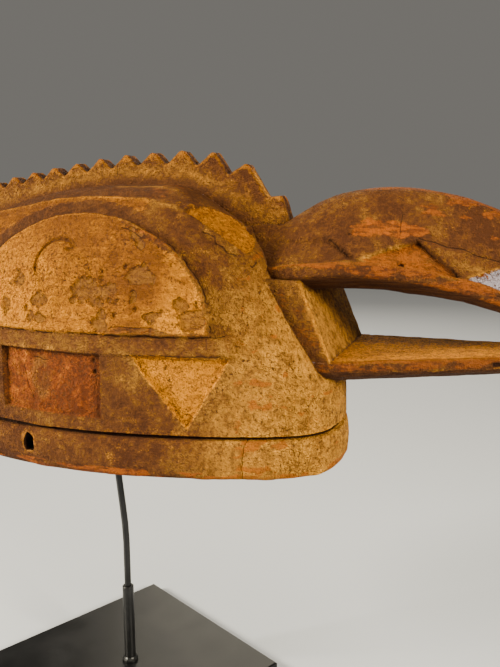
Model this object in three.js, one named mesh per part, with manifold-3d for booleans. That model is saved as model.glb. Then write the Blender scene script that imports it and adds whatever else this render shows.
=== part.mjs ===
// A carved wooden bird crest mask, held up by its display stand.
// The helmet, the toothed crest, the beak and all the carving are one block of wood.
// Millimetres, +X is the way the beak points, +Z is up, and the origin is the centre of the base's underside.
import * as THREE from "three";
import { mergeVertices } from "three/addons/utils/BufferGeometryUtils.js";
import Module from "manifold-3d";

const wasm = await Module();
wasm.setup();

// Driving dimensions. The mask is drawn in its own frame, whose heights start at the groove above its rim.
const grooveHeight = 264;
const maskShift = -2.4;
const helmet = {
  widestX: 24,
  halfWidth: 109,
  frontLength: 173,
  frontSkew: 0.2,
  frontRound: 14,
  backLength: 184,
  crown: 171,
  sideWall: 16,
  endWall: 24,
  roofWall: 20,
  shoulder: 0.9,
  columns: 58,
  rows: 12,
  hollowColumns: 36,
  hollowRows: 9,
};
const rim = { height: 31, swell: 2.5, notch: 2.5, holeX: -13, holeZ: -13, holeWidth: 8, holeHeight: 12 };
const crest = {
  thickness: 15,
  frontToothX: 146,
  frontValley: [152, 144],
  frontFlat: 12,
  widestPitch: 27.6,
  pitchLoss: 0.9,
  teeth: 12,
  highest: 196.5,
  highestX: 62,
  tallTooth: 12,
  lowTooth: 6.5,
  valleyShare: 0.44,
  tipHalf: 2.4,
  tipDrop: 1.2,
  backFoot: [-146, 96],
  foot: 70,
};
const disc = { centreX: 26, base: 70.5, halfLength: 95.5, rise: 82, proud: 4, arcSteps: 24 };
const eye = { x: 15, z: 115, radius: 17, height: 5, wall: 101, tilt: 24, columns: 22, rows: 16 };
const channel = { centreX: 22, halfLength: 103, rise: 85, depth: 3 };
const brow = { back: -86, front: 78, middle: 22, reach: 115, nearCrest: 11, ridgeY: 63, depth: 3, steps: 14 };
const belt = { bottom: 56, top: 69, front: 137, back: -128, proud: 2.5 };
const redPanel = { back: -36, front: 46.5, bottom: 11, top: 56, depth: 5 };
const triangle = { back: 70, front: 134, top: 55, pointX: 107, pointZ: 6.7, depth: 4 };
const leaf = {
  outline: [
    [92, 58],
    [100, 34],
    [112, 18],
    [125, 17],
    [136, 42],
    [135, 52],
    [124, 56],
  ],
  depth: 3,
};
const beak = {
  rootX: 112,
  rootRidge: 142,
  halfWidth: 54.4,
  rootTo: 175,
  taperFrom: 197,
  taper: 0.245,
  ridgePeakX: 228,
  ridgePeak: 169,
  ridgeHalf: 7,
  rootRidgeHalf: 20,
  edgePeakX: 207,
  edgePeak: 110,
  edgeFloor: 62,
  band: 11,
  keel: 13,
  tipX: 412,
  tipZ: 66,
  panelDepth: 3,
  panels: [
    [[147, 113.5], [134, 130], [192, 134.5], [210, 122.5]],
    [[213, 121], [250, 134], [280, 110]],
    [[282, 109], [316, 120], [344, 91]],
  ],
};
const throat = { backX: 120, topX: 173.5, topZ: 106, footX: 197, footZ: 51, halfWidth: 54 };
const lowerJaw = { rootX: 140, top: 51, climb: 0.056, strip: 7, keel: 13, tipX: 368 };
const stand = {
  baseSide: 190,
  baseThickness: 8,
  baseTurn: -27.3,
  baseChamfer: 1,
  tubeRadius: 5,
  tubeBore: 3.4,
  tubeHeight: 74,
  collarRadius: 7,
  collarHeight: 3,
  rodRadius: 3,
  bendZ: -128,
  topX: -30,
  barBack: -75,
  barFront: 105,
  barWidth: 16,
  barThickness: 4,
  barGap: 2,
};
const fit = 0.35;

const between = (a, b, t) => a + (b - a) * t;
const clamp01 = (t) => Math.min(1, Math.max(0, t));
const ease = (a, b, x) => clamp01((x - a) / (b - a)) ** 2 * (3 - 2 * clamp01((x - a) / (b - a)));

// A closed triangle mesh as a solid that can be joined and cut.
function solid(geometry) {
  const bare = geometry.clone();
  bare.deleteAttribute("normal");
  bare.deleteAttribute("uv");
  const merged = mergeVertices(bare, 1e-4);
  return new wasm.Manifold(
    new wasm.Mesh({
      numProp: 3,
      vertProperties: merged.attributes.position.array,
      triVerts: new Uint32Array(merged.index.array),
    }),
  );
}

// The geometry of a solid, with one normal for each flat face.
function geometryOf(body) {
  const mesh = body.getMesh();
  const positions = new Float32Array(mesh.numVert * 3);
  for (let i = 0; i < mesh.numVert; i++) {
    positions.set(mesh.vertProperties.subarray(i * mesh.numProp, i * mesh.numProp + 3), i * 3);
  }
  const geometry = new THREE.BufferGeometry();
  geometry.setAttribute("position", new THREE.BufferAttribute(positions, 3));
  geometry.setIndex(new THREE.BufferAttribute(new Uint32Array(mesh.triVerts), 1));
  const faceted = geometry.toNonIndexed();
  faceted.computeVertexNormals();
  return faceted;
}

// A closed skin over rings of equally many points, from the first ring to the last.
// Each end is closed by a fan to the middle of its ring.
function skin(rings) {
  const count = rings[0].length;
  const middle = (ring) => [0, 1, 2].map((k) => ring.reduce((sum, p) => sum + p[k], 0) / ring.length);
  const points = rings.flat();
  const first = points.push(middle(rings[0])) - 1;
  const last = points.push(middle(rings.at(-1))) - 1;
  const faces = [];
  for (let r = 0; r + 1 < rings.length; r++) {
    for (let i = 0; i < count; i++) {
      const a = r * count + i;
      const b = r * count + ((i + 1) % count);
      faces.push(a, b, b + count, a, b + count, a + count);
    }
  }
  const end = (rings.length - 1) * count;
  for (let i = 0; i < count; i++) {
    const next = (i + 1) % count;
    faces.push(first, next, i, last, end + i, end + next);
  }
  const geometry = new THREE.BufferGeometry();
  geometry.setAttribute("position", new THREE.Float32BufferAttribute(points.flat(), 3));
  geometry.setIndex(faces);
  return solid(geometry);
}

// An outline in side view, x along and z up, cut through the side of the mask from y = near to y = far.
function sidePrism(outline, near, far) {
  const shape = new THREE.Shape(outline.map(([x, z]) => new THREE.Vector2(x, z)));
  const geometry = new THREE.ExtrudeGeometry(shape, { depth: far - near, bevelEnabled: false });
  geometry.rotateX(Math.PI / 2).translate(0, far, 0);
  return solid(geometry);
}

// An outline in plan, x along and y across, cut down through the roof.
function roofPrism(outline, low, high) {
  const shape = new THREE.Shape(outline.map(([x, y]) => new THREE.Vector2(x, y)));
  const geometry = new THREE.ExtrudeGeometry(shape, { depth: high - low, bevelEnabled: false });
  geometry.translate(0, 0, low);
  return solid(geometry);
}

// The same outline on both sides of the mask.
function bothSides(outline, near, far) {
  return sidePrism(outline, near, far).add(sidePrism(outline, -far, -near));
}

// Half of the helmet's outline at the groove, from the front point back to the nape.
// The front narrows as a power of the way forward and closes in a blunt curve, the back is a long ellipse.
function halfOutline(steps) {
  const fine = [];
  for (let i = 0; i <= 400; i++) {
    const u = 1 - i / 400;
    const y = helmet.halfWidth * (1 - 0.46 * u ** 1.7) * Math.sqrt(1 - u ** helmet.frontRound);
    fine.push([helmet.widestX + helmet.frontLength * u, y]);
  }
  for (let i = 1; i <= 400; i++) {
    const v = i / 400;
    fine.push([helmet.widestX - helmet.backLength * v, helmet.halfWidth * Math.sqrt(1 - v ** 2.2)]);
  }
  const walked = [0];
  for (let i = 1; i < fine.length; i++) {
    walked.push(walked[i - 1] + Math.hypot(fine[i][0] - fine[i - 1][0], fine[i][1] - fine[i - 1][1]));
  }
  const even = [];
  let k = 0;
  for (let s = 0; s <= steps; s++) {
    const goal = (walked.at(-1) * s) / steps;
    while (k + 2 < fine.length && walked[k + 1] < goal) k++;
    const t = (goal - walked[k]) / (walked[k + 1] - walked[k]);
    even.push([between(fine[k][0], fine[k + 1][0], t), between(fine[k][1], fine[k + 1][1], t)]);
  }
  return even;
}

// The whole outline, anticlockwise from the front point. The chin is hewn a little askew of the beak.
function wholeOutline(columns) {
  const half = halfOutline(columns / 2);
  const back = half.slice(1, -1).reverse();
  const even = [...half, ...back.map(([x, y]) => [x, -y])];
  return even.map(([x, y]) => [x - helmet.frontSkew * y * forwardness(x) ** 2, y]);
}

// How far forward of the widest place a point lies: 0 there, 1 at the front.
function forwardness(x) {
  return clamp01((x - helmet.widestX) / helmet.frontLength);
}

// Height of the roof along the middle of the helmet.
function crownHeight(x) {
  const aft = Math.max(0, 15 - x) / 170;
  return helmet.crown * (1 - 0.2 * ease(60, 150, x) - 0.223 * aft ** 1.44);
}

// A point of the dome: t = 0 at the groove, t = 0.5 on the shoulder, t = 1 on the crown. The section is a
// squared-off ellipse, section^a + rise^b = 1, and towards the front the wall also leans back.
function domePoint([x0, y0], t) {
  const ahead = forwardness(x0);
  const behind = clamp01((helmet.widestX - x0) / helmet.backLength);
  const widthPower = 3.7 + 1.3 * ahead ** 2 + 3 * behind ** 2;
  const heightPower = 3 + 3 * ahead ** 2;
  const lean = 0.02 + 0.24 * ahead ** 1.5;
  const roofEdge = (1 - helmet.shoulder ** heightPower) ** (1 / widthPower);
  const onWall = t < 0.5;
  const section = onWall
    ? (1 - (helmet.shoulder * 2 * t) ** heightPower) ** (1 / widthPower)
    : roofEdge * 2 * (1 - t);
  const rise = onWall ? helmet.shoulder * 2 * t : (1 - section ** widthPower) ** (1 / heightPower);
  const high = rise ** 4 / (rise ** 4 + 0.07);
  const x = helmet.widestX + (x0 - helmet.widestX) * section * (1 - lean * high);
  return [x, y0 * section * (1 - 0.02 * high), crownHeight(x) * rise];
}

// The dome's rings, grown outwards by a few millimetres, or shrunk by a wall.
function domeRings(columns, rows, grow) {
  const outline = wholeOutline(columns);
  const rings = [];
  for (let r = 0; r < rows; r++) {
    const t = r / rows;
    rings.push(
      outline.map((p) => {
        const [x, y, z] = domePoint(p, t);
        return [
          helmet.widestX + (x - helmet.widestX) * (1 + grow.end / helmet.frontLength),
          y * (1 + grow.side / helmet.halfWidth),
          z * (1 + grow.roof / helmet.crown),
        ];
      }),
    );
  }
  const roof = crownHeight(helmet.widestX) * (1 + grow.roof / helmet.crown);
  rings.push(outline.map(([x, y]) => [helmet.widestX + (x - helmet.widestX) * 0.02, y * 0.02, roof]));
  return rings;
}

// The outline of the groove, set out or in by a distance, at a height.
function rimRing(columns, out, z) {
  return wholeOutline(columns).map(([x, y]) => [
    helmet.widestX + (x - helmet.widestX) * (1 + out / helmet.frontLength),
    y * (1 + out / helmet.halfWidth),
    z,
  ]);
}

// The dome as a solid down to a floor, for raised and sunken panels.
function dome(grow, floor) {
  const even = { end: grow, side: grow, roof: grow };
  return skin([rimRing(helmet.columns, grow, floor), ...domeRings(helmet.columns, helmet.rows, even)]);
}

// The helmet's block: the dome, the fine groove and the swelling rim below it.
function helmetBlock() {
  const lip = [
    [-3, -rim.height],
    [0.5, -rim.height + 1.5],
    [rim.swell - 0.5, -rim.height + 6],
    [rim.swell, -rim.height / 2],
    [1.5, -4],
    [-0.5, -1.4],
    [-rim.notch, -0.7],
  ];
  return skin([
    ...lip.map(([out, z]) => rimRing(helmet.columns, out, z)),
    ...domeRings(helmet.columns, helmet.rows, { end: 0, side: 0, roof: 0 }),
  ]);
}

// The hollow for the wearer's head, open below.
function hollow() {
  const shrink = { end: -helmet.endWall, side: -helmet.sideWall, roof: -helmet.roofWall };
  const wall = domeRings(helmet.hollowColumns, helmet.hollowRows, shrink);
  const mouth = wall[0].map(([x, y]) => [x, y, -rim.height - 10]);
  return skin([mouth, ...wall]);
}

// The line along the tips of the teeth, falling forwards and backwards from its highest place.
function crestLine(x) {
  return x > crest.highestX
    ? crest.highest - 0.000211 * (x - crest.highestX) ** 2.7
    : crest.highest - 0.0109 * (crest.highestX - x) ** 1.5;
}

// The crest in side view: blunt saw teeth whose pitch and height grow towards the front.
function crestOutline() {
  const [valleyX, valleyZ] = crest.frontValley;
  let tip = crest.frontToothX;
  const outline = [
    [valleyX, valleyZ - 24],
    [valleyX, valleyZ],
    [tip, crestLine(tip) - 1],
    [tip - crest.frontFlat, crestLine(tip) - 3],
  ];
  for (let i = 1; i < crest.teeth; i++) {
    const pitch = crest.widestPitch - crest.pitchLoss * (i - 1);
    const depth = between(crest.tallTooth, crest.lowTooth, (i - 1) / (crest.teeth - 2));
    tip -= pitch;
    const top = crestLine(tip);
    const middle = (top + crestLine(tip + pitch)) / 2;
    if (i > 1) outline.push([tip + pitch * crest.valleyShare, middle - depth]);
    outline.push([tip + crest.tipHalf, top - crest.tipDrop], [tip, top], [tip - crest.tipHalf, top - crest.tipDrop]);
  }
  outline.push(crest.backFoot, [crest.backFoot[0] + 20, crest.foot], [valleyX - 30, crest.foot]);
  return outline;
}

// Half the width of both jaws: it widens out of the helmet's front, then tapers steadily to the tip.
function jawHalfWidth(x) {
  const root = 1 - 0.173 * (Math.min(47, Math.max(0, beak.rootTo - x)) / 30) ** 1.3;
  return beak.halfWidth * root - beak.taper * Math.max(0, x - beak.taperFrom);
}

// The higher of a curve and a floor, blended softly over a few millimetres.
function softFloor(height, floor, blend) {
  const over = (height - floor) / blend;
  return floor + blend * (over > 30 ? over : Math.log1p(Math.exp(over)));
}

// The upper jaw's ridge line: it climbs from the crest, and hooks down to the tip.
function ridgeHeight(x) {
  return x < beak.ridgePeakX
    ? softFloor(beak.ridgePeak - 0.000757 * (beak.ridgePeakX - x) ** 2.4, beak.rootRidge, 1.5)
    : beak.ridgePeak - 0.003 * (x - beak.ridgePeakX) ** 2;
}

// The upper jaw's lower edge: an arch that flattens above the lower jaw's tip.
function edgeHeight(x) {
  return softFloor(beak.edgePeak - 0.0019 * (x - beak.edgePeakX) ** 2, beak.edgeFloor, 8);
}

// The upper jaw: a narrow ridge, two slopes that meet at a crease, an upright band and a rounded keel.
function upperJaw(inset) {
  const rings = [];
  const stations = 23;
  for (let s = 0; s <= stations; s++) {
    const x = between(beak.rootX, beak.tipX, (s / stations) ** 0.9);
    const fade = clamp01((beak.tipX - x) / 26) ** 0.5;
    const half = Math.max(1.2, jawHalfWidth(x) * clamp01((beak.tipX - x) / 40 + 0.15) - inset * fade);
    const ridge = between(beak.tipZ + 2, ridgeHeight(x), fade) - inset * fade;
    const edge = between(beak.tipZ - 2, edgeHeight(x), fade) + inset * fade;
    const crown = Math.min(between(beak.rootRidgeHalf, beak.ridgeHalf, ease(134, 172, x)), half * 0.45);
    const thick = ridge - edge;
    const band = Math.min(beak.band, thick * 0.3);
    const keel = Math.min(beak.keel, half * 0.3, thick * 0.4) * fade;
    const right = [
      [crown * 0.6, ridge],
      [crown, ridge - thick * 0.03],
      [between(crown, half, 0.52), between(ridge, edge + band, 0.5)],
      [half, edge + band],
      [half, edge + 1],
      [half * 0.96, edge - keel * 0.12],
      [half * 0.6, edge - keel * 0.75],
      [half * 0.2, edge - keel],
    ];
    const left = right.map(([y, z]) => [-y, z]).reverse();
    rings.push([...left, ...right].reverse().map(([y, z]) => [x, y, z]));
  }
  return skin(rings);
}

// The lower jaw: a flat tongue of wood with an upright strip at its sides and a rounded keel.
function lowerJawBody() {
  const rings = [];
  const stations = 14;
  for (let s = 0; s <= stations; s++) {
    const x = between(lowerJaw.rootX, lowerJaw.tipX, s / stations);
    const close = clamp01((lowerJaw.tipX - x) / 30) ** 0.5;
    const half = Math.max(2, jawHalfWidth(x) * between(0.35, 1, close));
    const top = lowerJaw.top + lowerJaw.climb * (x - throat.footX);
    const strip = lowerJaw.strip * between(0.5, 1, close);
    const keel = lowerJaw.keel * (half / beak.halfWidth) ** 0.7 * between(0.4, 1, close);
    const right = [
      [half * 0.5, top],
      [half - 1, top],
      [half, top - 1],
      [half, top - strip],
      [half * 0.93, top - strip - keel * 0.35],
      [half * 0.6, top - strip - keel * 0.85],
      [half * 0.2, top - strip - keel],
    ];
    const left = right.map(([y, z]) => [-y, z]).reverse();
    rings.push([...left, ...right].reverse().map(([y, z]) => [x, y, z]));
  }
  return skin(rings);
}

// The block behind the mouth, whose front is the slanting throat plate.
function throatBlock() {
  const outline = [
    [throat.backX, throat.topZ],
    [throat.topX, throat.topZ],
    [throat.footX + 2, throat.footZ - 5],
    [throat.backX, throat.footZ - 5],
  ];
  return sidePrism(outline, -throat.halfWidth, throat.halfWidth);
}

// Half an ellipse standing on the discs' base line, in side view.
function halfEllipse({ centreX, halfLength, rise }) {
  const outline = [];
  for (let i = 0; i <= disc.arcSteps; i++) {
    const a = (Math.PI * i) / disc.arcSteps;
    outline.push([centreX + halfLength * Math.cos(a), disc.base + rise * Math.sin(a)]);
  }
  return outline;
}

// The side of a raised panel: what of the grown dome lies in the outline.
function raise(block, outline, proud) {
  return block.add(bothSides(outline, 8, 140).intersect(dome(proud, 4)));
}

// A sunken panel: what of the outline lies outside the shrunken dome.
function sink(block, outline, depth) {
  return block.subtract(bothSides(outline, 8, 140).subtract(dome(-depth, -20)));
}

// A sunken panel of the roof, cut from above on both sides of the crest.
function sinkRoof(block, outline, depth) {
  const both = roofPrism(outline, 90, 230).add(roofPrism(outline.map(([x, y]) => [x, -y]).reverse(), 90, 230));
  return block.subtract(both.subtract(dome(-depth, -20)));
}

// The hollow between crest and brow ridge, in plan: straight beside the crest, a flattened oval outside.
function browOutline() {
  const outline = [
    [brow.back, brow.nearCrest],
    [brow.front, brow.nearCrest],
  ];
  for (let i = 0; i <= brow.steps; i++) {
    const x = between(brow.front, brow.back, i / brow.steps);
    outline.push([x, brow.ridgeY * Math.sqrt(1 - ((x - brow.middle) / brow.reach) ** 4)]);
  }
  return outline;
}

// A low mound on each disc, square to the wall that it stands on.
function eyeMound(side) {
  const reach = (eye.radius ** 2 + eye.height ** 2) / (2 * eye.height);
  const tilt = THREE.MathUtils.degToRad(eye.tilt);
  const inside = reach - eye.height;
  const ball = new THREE.SphereGeometry(reach, eye.columns, eye.rows);
  ball.rotateX(Math.PI / 2);
  ball.translate(eye.x, side * (eye.wall - inside * Math.cos(tilt)), eye.z - inside * Math.sin(tilt));
  return solid(ball);
}

function carvedHelmet() {
  let block = helmetBlock();
  block = sink(block, halfEllipse(channel), channel.depth);
  block = sinkRoof(block, browOutline(), brow.depth);
  block = sinkRoof(block, leaf.outline, leaf.depth);
  block = raise(block, halfEllipse(disc), disc.proud);
  block = raise(
    block,
    [
      [belt.back, belt.bottom],
      [belt.front - 4, belt.bottom - 2],
      [belt.front, belt.bottom + 4],
      [belt.front - 3, belt.top - 2],
      [belt.back, belt.top],
    ],
    belt.proud,
  );
  block = sink(
    block,
    [
      [redPanel.back, redPanel.bottom - 1],
      [redPanel.front, redPanel.bottom + 1],
      [redPanel.front, redPanel.top],
      [redPanel.back, redPanel.top],
    ],
    redPanel.depth,
  );
  block = sink(
    block,
    [
      [triangle.pointX, triangle.pointZ],
      [triangle.front, triangle.top - 1],
      [triangle.back, triangle.top + 1],
    ],
    triangle.depth,
  );
  return block.add(eyeMound(-1)).add(eyeMound(1));
}

// The holes through the rim that once held the costume's cords.
function rimHoles() {
  const hole = new THREE.CylinderGeometry(0.5, 0.5, 3 * helmet.halfWidth, 12);
  hole.scale(rim.holeWidth, 1, rim.holeHeight).translate(rim.holeX, 0, rim.holeZ);
  return solid(hole);
}

// The upper jaw with its sunken faces: a long one behind and two triangles on each side.
function carvedUpperJaw() {
  let jaw = upperJaw(0);
  const core = upperJaw(beak.panelDepth);
  for (const outline of beak.panels) jaw = jaw.subtract(bothSides(outline, 4, 90).subtract(core));
  return jaw;
}

function maskBody() {
  const jaws = carvedUpperJaw().add(lowerJawBody());
  const block = carvedHelmet().subtract(rimHoles());
  const half = crest.thickness / 2;
  return block
    .add(sidePrism(crestOutline(), -half, half))
    .add(throatBlock())
    .add(jaws)
    .subtract(hollow());
}

// Height of the hollow's roof on the middle line.
function ceiling(x) {
  const end = x > helmet.widestX ? 0 : helmet.columns / 2;
  const wall = x > helmet.widestX ? helmet.frontLength : helmet.backLength;
  const outlinePoint = wholeOutline(helmet.columns)[end];
  const shrink = 1 - helmet.endWall / helmet.frontLength;
  let low = 0;
  let high = 1;
  for (let i = 0; i < 30; i++) {
    const t = (low + high) / 2;
    const reached = Math.abs(domePoint(outlinePoint, t)[0] - helmet.widestX) * shrink;
    if (reached > Math.min(wall, Math.abs(x - helmet.widestX))) low = t;
    else high = t;
  }
  return domePoint(outlinePoint, low)[2] * (1 - helmet.roofWall / helmet.crown);
}

// The rod that holds the mask, bent back inside it, with the flat bar that lies along the hollow's roof.
function cradleRod() {
  const barTop = (x) => ceiling(x - maskShift) + grooveHeight - stand.barGap;
  const joint = barTop(stand.topX) - stand.barThickness / 2;
  const bend = grooveHeight + stand.bendZ;
  const path = new THREE.CurvePath();
  const foot = new THREE.Vector3(0, 0, stand.baseThickness + 2 * fit);
  const knee = new THREE.Vector3(0, 0, bend - 15);
  const lean = new THREE.Vector3(stand.topX, 0, joint).sub(new THREE.Vector3(0, 0, bend)).normalize();
  const above = new THREE.Vector3(0, 0, bend).addScaledVector(lean, 15);
  path.add(new THREE.LineCurve3(foot, knee));
  path.add(new THREE.QuadraticBezierCurve3(knee, new THREE.Vector3(0, 0, bend), above));
  path.add(new THREE.LineCurve3(above, new THREE.Vector3(stand.topX, 0, joint)));
  const section = new THREE.Shape();
  section.absarc(0, 0, stand.rodRadius, 0, 2 * Math.PI);
  const rod = new THREE.ExtrudeGeometry(section, { extrudePath: path, steps: 24, curveSegments: 4, bevelEnabled: false });
  const rings = [];
  const steps = 10;
  for (let i = 0; i <= steps; i++) {
    const x = between(stand.barBack, stand.barFront, i / steps);
    const top = barTop(x);
    const low = top - stand.barThickness;
    const half = stand.barWidth / 2;
    rings.push([[x, half, low], [x, half, top], [x, -half, top], [x, -half, low]]);
  }
  return solid(rod).add(skin(rings));
}

// The socket tube with the small collar at its foot.
function socketTube() {
  const foot = stand.baseThickness + fit;
  const profile = [
    [stand.tubeBore, foot],
    [stand.collarRadius, foot],
    [stand.collarRadius, foot + stand.collarHeight - 1],
    [stand.tubeRadius + 0.8, foot + stand.collarHeight],
    [stand.tubeRadius, foot + stand.collarHeight + 1],
    [stand.tubeRadius, stand.baseThickness + stand.tubeHeight - 0.6],
    [stand.tubeRadius - 0.6, stand.baseThickness + stand.tubeHeight],
    [stand.tubeBore, stand.baseThickness + stand.tubeHeight],
    [stand.tubeBore, foot],
  ];
  const lathe = new THREE.LatheGeometry(profile.map(([r, z]) => new THREE.Vector2(r, z)), 18);
  return lathe.rotateX(Math.PI / 2);
}

// The square base plate with a fine chamfer, turned on the rod against the mask.
function basePlate() {
  const half = stand.baseSide / 2 - stand.baseChamfer;
  const square = new THREE.Shape([
    new THREE.Vector2(-half, -half),
    new THREE.Vector2(half, -half),
    new THREE.Vector2(half, half),
    new THREE.Vector2(-half, half),
  ]);
  const plate = new THREE.ExtrudeGeometry(square, {
    depth: stand.baseThickness - 2 * stand.baseChamfer,
    bevelSize: stand.baseChamfer,
    bevelThickness: stand.baseChamfer,
    bevelSegments: 1,
  });
  return plate.translate(0, 0, stand.baseChamfer);
}

const materials = {
  wood: new THREE.MeshStandardMaterial({ color: 0x8a5a26, roughness: 0.75, metalness: 0 }),
  blackSteel: new THREE.MeshStandardMaterial({ color: 0x121212, roughness: 0.4, metalness: 0.8 }),
  blackBase: new THREE.MeshStandardMaterial({ color: 0x0a0a0a, roughness: 0.2, metalness: 0.3 }),
};

function named(name, geometry, material) {
  const mesh = new THREE.Mesh(geometry, material);
  mesh.name = name;
  return mesh;
}

const model = new THREE.Group();
const mask = named("mask", geometryOf(maskBody()), materials.wood);
mask.position.set(maskShift, 0, grooveHeight);
const base = named("base_plate", basePlate(), materials.blackBase);
base.rotation.z = THREE.MathUtils.degToRad(stand.baseTurn);
model.add(
  mask,
  named("cradle_rod", geometryOf(cradleRod()), materials.blackSteel),
  named("socket_tube", socketTube(), materials.blackSteel),
  base,
);

export default model;
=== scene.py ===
import math

import bpy
import numpy as np
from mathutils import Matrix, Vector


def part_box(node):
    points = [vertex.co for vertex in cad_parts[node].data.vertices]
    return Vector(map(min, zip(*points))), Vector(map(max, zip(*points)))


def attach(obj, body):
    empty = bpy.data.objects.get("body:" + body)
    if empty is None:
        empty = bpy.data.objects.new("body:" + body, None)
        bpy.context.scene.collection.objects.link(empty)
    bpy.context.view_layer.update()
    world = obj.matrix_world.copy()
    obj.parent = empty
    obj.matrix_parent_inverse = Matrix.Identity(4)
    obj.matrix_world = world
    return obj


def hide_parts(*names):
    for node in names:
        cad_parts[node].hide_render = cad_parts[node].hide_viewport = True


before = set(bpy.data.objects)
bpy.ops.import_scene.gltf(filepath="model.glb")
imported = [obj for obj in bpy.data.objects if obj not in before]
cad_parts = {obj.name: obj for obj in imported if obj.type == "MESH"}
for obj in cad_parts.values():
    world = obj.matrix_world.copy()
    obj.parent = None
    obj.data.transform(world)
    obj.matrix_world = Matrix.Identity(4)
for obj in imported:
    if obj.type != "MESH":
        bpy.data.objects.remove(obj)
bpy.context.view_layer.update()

# Carved shapes are worked out in millimetres in the mask's own frame: x runs towards the beak, y to the
# bird's left, and heights start at the groove above the rim. placed() puts them into the frame, in metres.
rim = {"height": 31, "holeX": -13, "holeZ": -13, "holeWidth": 9.5, "holeHeight": 13, "drillReach": 150}
beakTip = {"x": 411.4, "z": 66, "solidX": 412}  # the carved tip stops just short of the solid's own
maskLow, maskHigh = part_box("mask")
maskShift = maskHigh.x * 1000 - beakTip["solidX"]
grooveLevel = maskLow.z * 1000 + rim["height"]

# The camera stands where the photograph was taken from, in millimetres, and its angles are in degrees.
camera = {"place": (314.7, -547.1, 170.0), "pitchDown": 11.1, "turn": 19.7, "lens": 40.64, "sensor": 36}


def placed(points):
    return (np.asarray(points, float) + (maskShift, 0, grooveLevel)) * 0.001


def makeCamera():
    data = bpy.data.cameras.new("photoCamera")
    data.lens = camera["lens"]
    data.sensor_width = camera["sensor"]
    view = bpy.data.objects.new("photoCamera", data)
    view.location = placed(camera["place"])
    view.rotation_euler = (math.radians(90 - camera["pitchDown"]), 0, math.radians(camera["turn"]))
    bpy.context.scene.collection.objects.link(view)
    bpy.context.scene.camera = view


makeCamera()
print("camera stands")


# From this distance on, in millimetres, a point counts as far from a line or a field.
far = 9


# Small shape helpers: all take and give whole arrays.
def between(a, b, t):
    return a + (b - a) * t


def ease(a, b, x):
    t = np.clip((x - a) / (b - a), 0, 1)
    return t * t * (3 - 2 * t)


# 1 well inside an outline and 0 well outside, for a signed distance that is positive inside.
def inside(distance, width):
    return ease(-width / 2, width / 2, distance)


# A bell across a line: 1 on the line, and about a third at the given width from it.
def bell(distance, width):
    return np.exp(-(distance / width) ** 2)


# Several fine lines at once, each a signed distance and limits that are above 0 where the line runs: the
# signed distance to the one that shows most at each point, and how much of it shows.
def nearestLine(*lines):
    chosen, most = far, 0.0
    for distance, *limits in lines:
        shows = inside(np.minimum.reduce(np.broadcast_arrays(*limits)), 1) * ease(2.6, 1.6, np.abs(distance))
        chosen, most = np.where(shows > most, distance, chosen), np.maximum(shows, most)
    return chosen, most


# How deep a fine crack cuts: a narrow bell across its line, as deep as the line shows.
def crackDepth(seam, seamShare):
    return 0.5 * seamShare * bell(seam, 0.9)


# Signed distance to a convex outline of points that run anticlockwise: the least distance to any side.
def polygonDistance(outline, u, v):
    nearest = np.full(np.shape(u), 1e9)
    for (u0, v0), (u1, v1) in zip(outline, outline[1:] + outline[:1]):
        length = math.hypot(u1 - u0, v1 - v0)
        nearest = np.minimum(nearest, ((u1 - u0) * (v - v0) - (v1 - v0) * (u - u0)) / length)
    return nearest


# Signed distance to an ellipse: one minus its radius function, over that function's slope.
def ellipseDistance(u, v, centreU, centreV, halfU, halfV):
    du = (u - centreU) / halfU
    dv = (v - centreV) / halfV
    radius = np.sqrt(du * du + dv * dv) + 1e-6
    slope = np.sqrt((du / halfU) ** 2 + (dv / halfV) ** 2) / radius + 1e-6
    return (1 - radius) / slope


# A random number from 0 to 1 for each whole-number cell: large odd numbers mix the bits of its place.
def cellRandom(i, j, k, seed):
    n = (i * 374761393 + j * 668265263 + k * 1274126177 + seed * 974711) & 0xFFFFFFFF
    n = ((n ^ (n >> 13)) * 1103515245) & 0xFFFFFFFF
    n = ((n ^ (n >> 16)) * 747796405) & 0xFFFFFFFF
    return (n ^ (n >> 15)) / 4294967296.0


# Smooth noise from -1 to 1: random corner values blended across each cell with a smooth step.
def softNoise(points, size, seed):
    p = points / size
    base = np.floor(p).astype(np.int64)
    f = p - base
    f = f * f * (3 - 2 * f)
    total = 0
    for corner in range(8):
        di, dj, dk = corner & 1, corner >> 1 & 1, corner >> 2 & 1
        weight = (f[..., 0] if di else 1 - f[..., 0]) * (f[..., 1] if dj else 1 - f[..., 1])
        weight = weight * (f[..., 2] if dk else 1 - f[..., 2])
        total = total + weight * cellRandom(base[..., 0] + di, base[..., 1] + dj, base[..., 2] + dk, seed)
    return total * 2 - 1


# Layers of smooth noise, each half as large and half as strong as the one before.
def layeredNoise(points, size, layers, seed):
    total = 0
    for layer in range(layers):
        total = total + softNoise(points, size / 2 ** layer, seed + layer) * 0.5 ** layer
    return total


# Noise coordinates seen from the side, so that a mark runs straight in. Each side of the bird has its own.
def sideView(points):
    return np.stack([points[..., 0], points[..., 2], np.where(points[..., 1] < 0, 0.0, 300.0)], -1)


# Scattered cells: distance to the nearest scattered point, how much further the second is, and its number.
def scatteredCells(points, size, seed):
    p = points / size
    base = np.floor(p).astype(np.int64)
    first = np.full(p.shape[:-1], 9.0)
    second = np.full(p.shape[:-1], 9.0)
    number = np.zeros(p.shape[:-1])
    for step in range(27):
        cell = base + (step % 3 - 1, step // 3 % 3 - 1, step // 9 - 1)
        i, j, k = cell[..., 0], cell[..., 1], cell[..., 2]
        spot = np.stack([cellRandom(i, j, k, seed + s) for s in range(3)], -1) + cell
        distance = np.sqrt(((p - spot) ** 2).sum(-1))
        closer = distance < first
        second = np.where(closer, first, np.minimum(second, distance))
        number = np.where(closer, cellRandom(i, j, k, seed + 3), number)
        first = np.where(closer, distance, first)
    return first * size, (second - first) * size, number


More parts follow.
